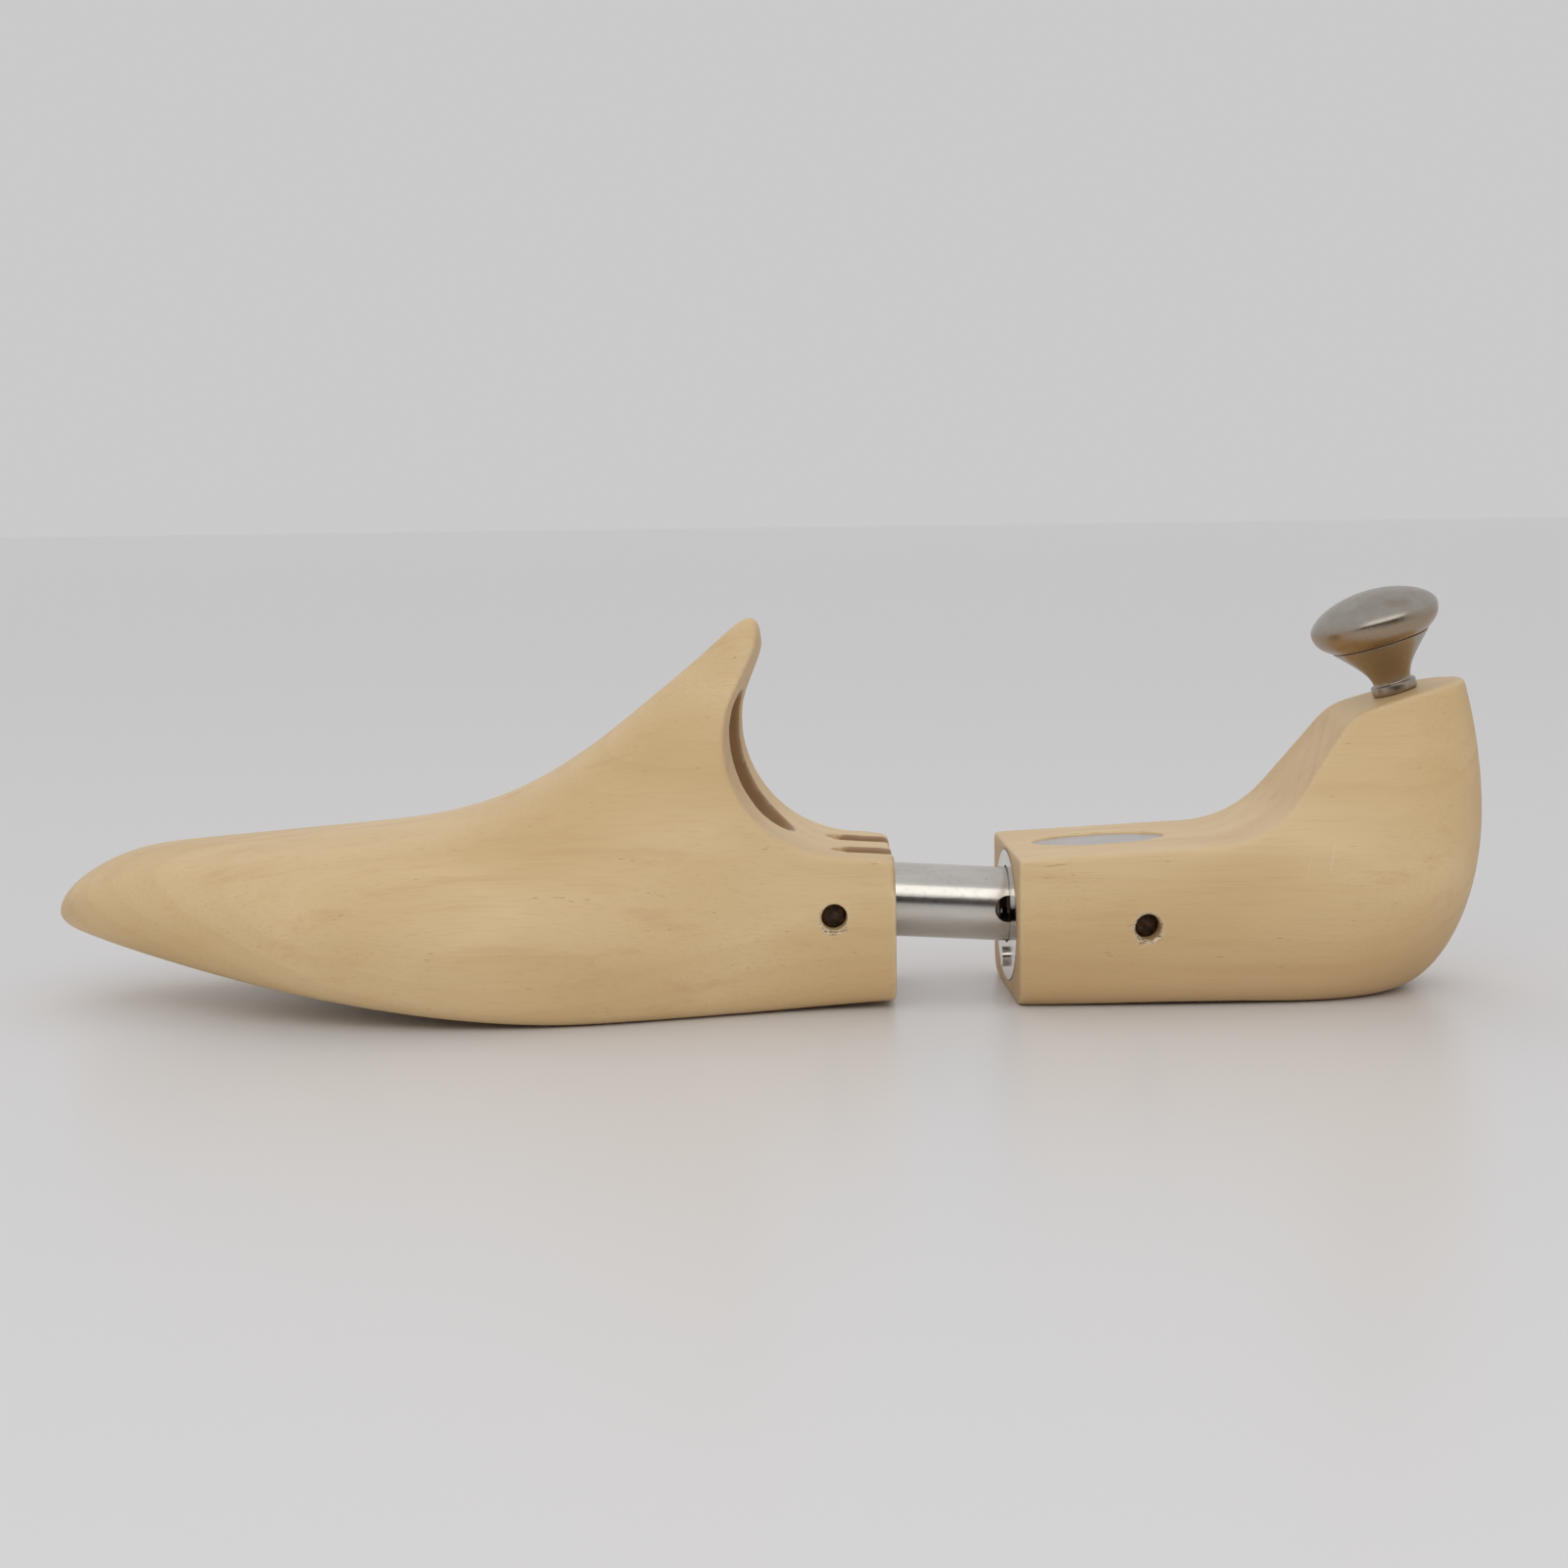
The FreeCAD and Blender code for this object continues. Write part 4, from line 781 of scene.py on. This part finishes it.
def knob_pieces(nickel, wood_reflecting_nickel):
    """Cap, neck and collar of the knob, with a rounder rim, a seam and eased corners."""
    foot = KNOB_AXIS + KNOB_WAY * span("knob_collar", KNOB_AXIS, KNOB_WAY)[0]
    collar_top = span("knob_collar", foot, KNOB_WAY)[1]
    seam = span("knob_neck", foot, KNOB_WAY)[1]
    top = span("knob_cap", foot, KNOB_WAY)[1]
    collar_r = reach("knob_collar", foot, KNOB_WAY)
    seam_r = reach("knob_neck", foot, KNOB_WAY)
    rim_r = reach("knob_cap", foot, KNOB_WAY)
    neck_r = 0.84 * collar_r
    bore_r = reach("knob_stud", foot, KNOB_WAY)

    lip = 0.25 * MM
    collar = [(bore_r, 0.0), (collar_r - 2.0 * lip, 0.0)]
    collar += bezier((collar_r - 2.0 * lip, 0.0), (collar_r - lip, 0.0),
                     (collar_r, lip), (collar_r, 2.4 * lip), 6)
    collar += bezier((collar_r, collar_top - 1.2 * lip), (collar_r, collar_top - 0.4 * lip),
                     (collar_r - 0.4 * lip, collar_top), (collar_r - 1.2 * lip, collar_top), 6)
    collar += [(neck_r, collar_top), (bore_r, collar_top)]
    collar_mesh = lathe(collar, foot, KNOB_WAY)

    fillet = 0.5 * MM
    neck = [(bore_r, collar_top), (neck_r + fillet, collar_top)]
    neck += bezier((neck_r + fillet, collar_top), (neck_r + 0.3 * fillet, collar_top),
                   (neck_r, collar_top + 0.3 * fillet), (neck_r, collar_top + fillet), 6)
    rise = seam - collar_top
    neck += bezier((neck_r, collar_top + fillet), (neck_r + 0.35 * MM, collar_top + 0.36 * rise),
                   (seam_r - 2.2 * MM, seam - 0.27 * rise), (seam_r - 0.25 * MM, seam - 0.30 * MM), 36)
    neck += bezier((seam_r - 0.25 * MM, seam - 0.30 * MM), (seam_r - 0.05 * MM, seam - 0.24 * MM),
                   (seam_r - 0.05 * MM, seam - 0.05 * MM), (seam_r - 0.35 * MM, seam), 6)
    neck += [(bore_r, seam - 0.02 * MM)]
    neck_mesh = lathe(neck, foot, KNOB_WAY)

    rim_z = seam + 0.45 * (top - seam)
    cap = [(0.0, seam + 0.02 * MM), (seam_r - 0.5 * MM, seam + 0.02 * MM)]
    cap += bezier((seam_r - 0.5 * MM, seam + 0.02 * MM), (seam_r - 0.1 * MM, seam + 0.02 * MM),
                  (seam_r + 0.1 * MM, seam + 0.15 * MM), (seam_r + 0.3 * MM, seam + 0.35 * MM), 6)
    cap += bezier((seam_r + 0.3 * MM, seam + 0.35 * MM), (seam_r + 2.1 * MM, seam + 1.5 * MM),
                  (rim_r, rim_z - 2.2 * MM), (rim_r, rim_z), 30)
    cap += bezier((rim_r, rim_z), (rim_r, rim_z + 2.5 * MM), (0.58 * rim_r, top), (0.0, top), 60)
    cap_mesh = lathe(cap, foot, KNOB_WAY, 192)
    dent(cap_mesh, foot, top)
    for mesh, node, material in ((cap_mesh, "knob_cap", nickel), (neck_mesh, "knob_neck", wood_reflecting_nickel),
                                 (collar_mesh, "knob_collar", wood_reflecting_nickel)):
        piece_from(mesh, node + "_turned", "heel", "knob_nickel", material, node)


DENT_WAY = Vector((-0.45, -0.55, 0.0))
DENT_OUT = 5.0 * MM
DENT_DEPTH = 0.16 * MM
DENT_RADIUS = 0.33 * MM


def dent(mesh, foot, top):
    """A small ding on the knob's dome, towards the camera."""
    across = (DENT_WAY - KNOB_WAY * DENT_WAY.dot(KNOB_WAY)).normalized()
    centre = foot + KNOB_WAY * top + across * DENT_OUT
    points = points_of(mesh)
    offset = points - np.array(centre)
    offset -= np.outer(offset @ np.array(KNOB_WAY), np.array(KNOB_WAY))
    depth = DENT_DEPTH * np.exp(-((offset ** 2).sum(axis=1)) / DENT_RADIUS ** 2)
    high = (points - np.array(foot)) @ np.array(KNOB_WAY) > top - 2.5 * MM
    points -= np.outer(depth * high, np.array(KNOB_WAY))
    mesh.vertices.foreach_set("co", points.astype(np.float32).ravel())


def pin_piece(node, name, body, material):
    """A cross pin with domed ends and a worn centre mark."""
    centre = middle(node)
    low, high = span(node, centre, PIN_WAY)
    radius = PIN_RADIUS
    dome = 0.7 * MM
    profile = [(0.0, low + 0.35 * MM), (0.16 * radius, low + 0.10 * MM)]
    profile += bezier((0.16 * radius, low + 0.10 * MM), (0.5 * radius, low), (radius, low + 0.2 * dome),
                      (radius, low + dome), 12)
    profile += [(radius, 0.5 * (low + high))]
    profile += bezier((radius, high - dome), (radius, high - 0.2 * dome), (0.5 * radius, high),
                      (0.16 * radius, high - 0.10 * MM), 12)
    profile += [(0.0, high - 0.35 * MM)]
    mesh = lathe(profile, centre, PIN_WAY, 48)
    piece_from(mesh, name, body, "pin_steel", material, node)


# ---------------------------------------------------------------- spring

WIRE_RADIUS = 0.75 * MM
SPRING_TURNS = 19.0
CLOSED_TURNS = 1.25
STEPS_PER_TURN = 40
CLOSED_PITCH = 2.02 * WIRE_RADIUS


def coil_spring(material):
    """Compression spring between the pins: closed turns at its ends, open ones between."""
    start, end = span("compression_spring", TUBE_MIDDLE, TUBE_WAY)
    outside = reach("compression_spring", TUBE_MIDDLE, TUBE_WAY)
    mean = outside - WIRE_RADIUS
    origin = TUBE_MIDDLE + TUBE_WAY * start
    side = PIN_WAY
    rise = TUBE_WAY.cross(side)
    length = end - start - 2.0 * WIRE_RADIUS
    open_turns = SPRING_TURNS - 2.0 * CLOSED_TURNS
    open_pitch = (length - 2.0 * CLOSED_TURNS * CLOSED_PITCH) / open_turns
    centres = []
    for index in range(int(SPRING_TURNS * STEPS_PER_TURN) + 1):
        turn = index / STEPS_PER_TURN
        opened = min(turn, SPRING_TURNS - CLOSED_TURNS) - CLOSED_TURNS
        along = (min(turn, CLOSED_TURNS) * CLOSED_PITCH + max(0.0, opened) * open_pitch
                 + max(0.0, turn - (SPRING_TURNS - CLOSED_TURNS)) * CLOSED_PITCH)
        angle = 2.0 * math.pi * turn
        centres.append(origin + TUBE_WAY * (along + WIRE_RADIUS) + side * (mean * math.cos(angle))
                       + rise * (mean * math.sin(angle)))
    mesh = swept(centres, WIRE_RADIUS, 12)
    spring = piece_from(mesh, "spring_coil", "forepart", "spring_steel", material, "compression_spring")
    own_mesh(spring)


def swept(centres, radius, sides):
    """Round wire along a line of points, closed at both ends."""
    mesh = bmesh.new()
    rows = []
    for index, centre in enumerate(centres):
        before = centres[max(index - 1, 0)]
        after = centres[min(index + 1, len(centres) - 1)]
        way = (after - before).normalized()
        out = centre - (TUBE_MIDDLE + TUBE_WAY * (centre - TUBE_MIDDLE).dot(TUBE_WAY))
        out = (out - way * out.dot(way)).normalized()
        up = way.cross(out)
        rows.append([mesh.verts.new(centre + out * (radius * math.cos(2.0 * math.pi * number / sides))
                                    + up * (radius * math.sin(2.0 * math.pi * number / sides)))
                     for number in range(sides)])
    for low, high in zip(rows, rows[1:]):
        for number in range(sides):
            following = (number + 1) % sides
            mesh.faces.new((low[number], low[following], high[following], high[number]))
    mesh.faces.new(rows[0][::-1])
    mesh.faces.new(rows[-1])
    return finished(mesh, "swept")


# ---------------------------------------------------------------- the object

heel_marks = [
    ((0.1110, 0.0250), (0.1130, 0.0330), 0.00018, 0.20, SCRATCH),
    ((0.1160, 0.0270), (0.1180, 0.0350), 0.00024, 0.28, SCRATCH),
    ((0.0560, 0.0300), (0.0625, 0.0306), 0.00014, 0.50, STAIN),
]
heel_spots = [((0.1385, -0.0180, 0.0395), 0.0009, 0.80, STAIN)]
fore_marks = [((-0.0350, 0.0310), (-0.0180, 0.0330), 0.00035, 0.18, WOOD_PINK)]
fore_spots = [((-0.0500, -0.0345, 0.0410), 0.0004, 0.70, STAIN)]

# Shares of the painted shade towards the sole, on the forepart and on the heel.
FORE_SOLE_SHADE = 0.20
HEEL_SOLE_SHADE = 0.60
# Pin, seed, how far the tear reaches, and the share of that reach on the upper side.
FORE_TEAR = (FORE_PIN, 4, 1.7 * MM, 0.12)
HEEL_TEAR = (HEEL_PIN, 9, 1.5 * MM, 0.20)

fore_wood = pale_wood("pale_wood_fore", fore_marks, fore_spots, FORE_SOLE_SHADE)
heel_wood = pale_wood("pale_wood_heel", heel_marks, heel_spots, HEEL_SOLE_SHADE)
tube_steel = drawn_nickel("tube_steel", TUBE_SLOPE)
# The brown here is a painted reflection of the wood: on the knob's downward faces, and over most of the
# neck.
knob_nickel = aged_nickel("knob_nickel", 0.0, (0.38, 0.28, 0.19))
neck_nickel = aged_nickel("neck_nickel", 0.85, (0.38, 0.31, 0.245))
pin_steel = dark_pin("pin_steel")
plate_steel = polished_plate("plate_steel", (0.0, 0.0, 90.0), (0.54, 0.49, 0.43),
                             (0.66, 0.62, 0.57), 0.08)
name_steel = polished_plate("name_steel", (0.0, 0.0, 0.0), (0.58, 0.555, 0.53),
                            (0.67, 0.65, 0.63), 0.16)
spring_steel = spring_wire("spring_steel")

wooden_block("forepart_block", "forepart_carved", "forepart", fore_wood, fore_edges, fore_cuts,
             fuller_peak, FORE_TEAR)
wooden_block("heel_block", "heel_carved", "heel", heel_wood, heel_edges, no_cuts,
             no_fill, HEEL_TEAR)
pin_piece("forepart_pin", "forepart_pin_domed", "forepart", pin_steel)
pin_piece("heel_pin", "heel_pin_domed", "heel", pin_steel)
coil_spring(spring_steel)
knob_pieces(knob_nickel, neck_nickel)
for node, material in (("slide_tube", tube_steel), ("face_plate", plate_steel),
                       ("nameplate", name_steel), ("face_plate_screw", plate_steel),
                       ("knob_stud", pin_steel)):
    NODES[node].data.materials.clear()
    NODES[node].data.materials.append(material)


# ---------------------------------------------------------------- floor, light and camera

FLOOR_NEAR = (0.795, 0.793, 0.795)
FLOOR_FAR = (0.800, 0.797, 0.800)
FLOOR_TURN = 0.25
FLOOR_SIZE = 8.0
SKY = (0.60, 0.593, 0.60)
CARD_COLOUR = (0.025, 0.022, 0.02)
CARD_HALF_WIDTH = 1.6
CARD_NEAR = -1.9
GROUND_CARD_FAR = -0.38
GROUND_CARD_HEIGHT = 0.002
ROOM_CARD_HEIGHT = 0.85


def sheet(name, corners, material):
    """A flat four-cornered sheet in the scene."""
    mesh = bpy.data.meshes.new(name)
    mesh.from_pydata(corners, [], [(0, 1, 2, 3)])
    mesh.materials.append(material)
    item = bpy.data.objects.new(name, mesh)
    bpy.context.scene.collection.objects.link(item)
    return item


def studio_floor():
    """Pale paper: one plain sheet, its far part a touch lighter than its near part."""
    look = Look("studio_paper", Roughness=0.30, Specular_IOR_Level=0.5)
    share = look.band(look.split(look.place)["Y"], FLOOR_TURN - 0.02, FLOOR_TURN + 0.05)
    look.paint(Base_Color=look.mix(share, FLOOR_NEAR, FLOOR_FAR))
    half = FLOOR_SIZE / 2.0
    corners = [(-half, -half, 0.0), (half, -half, 0.0), (half, half, 0.0), (-half, half, 0.0)]
    floor = sheet("studio_paper", corners, look.material)


def softbox(name, location, target, width, depth, watts, colour):
    """Rectangular soft light."""
    data = bpy.data.lights.new(name, "AREA")
    data.shape = "RECTANGLE"
    data.size = width
    data.size_y = depth
    data.energy = watts
    data.color = colour
    lamp = bpy.data.objects.new(name, data)
    lamp.location = location
    lamp.rotation_euler = (Vector(target) - Vector(location)).to_track_quat("-Z", "Y").to_euler()
    bpy.context.scene.collection.objects.link(lamp)


def wide_sun(name, lean, angle, strength, colour):
    """Even light from a wide round patch of sky; lean turns it about X and Y."""
    data = bpy.data.lights.new(name, "SUN")
    data.angle = math.radians(angle)
    data.energy = strength
    data.color = colour
    lamp = bpy.data.objects.new(name, data)
    lamp.rotation_euler = (math.radians(lean[0]), math.radians(lean[1]), 0.0)
    lamp.visible_glossy = False
    bpy.context.scene.collection.objects.link(lamp)


def dark_card(name, far, low, high):
    """Dark card that only reflections see: it gives the metal its dark bands."""
    look = Look(name, Roughness=0.9, Base_Color=CARD_COLOUR)
    corners = [(-CARD_HALF_WIDTH, CARD_NEAR, low), (CARD_HALF_WIDTH, CARD_NEAR, low),
               (CARD_HALF_WIDTH, far, high), (-CARD_HALF_WIDTH, far, high)]
    card = sheet(name, corners, look.material)
    card.visible_camera = False
    card.visible_shadow = False
    card.visible_diffuse = False


def backdrop():
    """Evenly lit paper far behind the object; it adds no light to the floor."""
    look = Look("studio_backdrop", Roughness=1.0, Specular_IOR_Level=0.0,
                Base_Color=(0.0, 0.0, 0.0), Emission_Color=SKY, Emission_Strength=1.0)
    far = FLOOR_SIZE / 2.0
    corners = [(-far, far, far), (far, far, far), (far, far, 0.0), (-far, far, 0.0)]
    wall = sheet("studio_backdrop", corners, look.material)
    wall.visible_diffuse = False
    wall.visible_shadow = False


studio_floor()
wide_sun("top_light", lean=(-44.0, -6.0), angle=48.0, strength=0.38, colour=(1.0, 0.985, 0.96))
softbox("front_light", location=(0.0, -0.95, 0.76), target=(0.0, 0.0, 0.03), width=1.6, depth=0.66,
        watts=3.0, colour=(1.0, 0.99, 0.97))
dark_card("dark_ground", GROUND_CARD_FAR, GROUND_CARD_HEIGHT, GROUND_CARD_HEIGHT)
dark_card("dark_room", CARD_NEAR, 0.0, ROOM_CARD_HEIGHT)
backdrop()

world = bpy.data.worlds.new("studio")
bpy.context.scene.world = world
world.use_nodes = True
world.node_tree.nodes["Background"].inputs["Color"].default_value = (*SKY, 1.0)
world.node_tree.nodes["Background"].inputs["Strength"].default_value = 1.0

CAMERA_DISTANCE = 0.635
CAMERA_HEIGHT = 0.1165
CAMERA_SIDE = 0.0034
CAMERA_YAW = math.radians(2.3)
CAMERA_PITCH = math.radians(6.37)
CAMERA_ROLL = -0.0122
LENS = 68.22
SENSOR = 36.0

forward = Vector((math.sin(CAMERA_YAW) * math.cos(CAMERA_PITCH),
                  math.cos(CAMERA_YAW) * math.cos(CAMERA_PITCH), -math.sin(CAMERA_PITCH)))
right = forward.cross(Vector((0.0, 0.0, 1.0))).normalized()
upward = right.cross(forward)
camera_data = bpy.data.cameras.new("photo_view")
camera_data.lens = LENS
camera_data.sensor_width = SENSOR
camera = bpy.data.objects.new("photo_view", camera_data)
bpy.context.scene.collection.objects.link(camera)
turn = Matrix((right, upward, -forward)).transposed().to_4x4()
place = Matrix.Translation((CAMERA_SIDE - CAMERA_DISTANCE * math.sin(CAMERA_YAW),
                            -CAMERA_DISTANCE * math.cos(CAMERA_YAW), CAMERA_HEIGHT))
camera.matrix_world = place @ turn @ Matrix.Rotation(CAMERA_ROLL, 4, "Z")
bpy.context.scene.camera = camera
bpy.context.scene.view_settings.view_transform = "Standard"
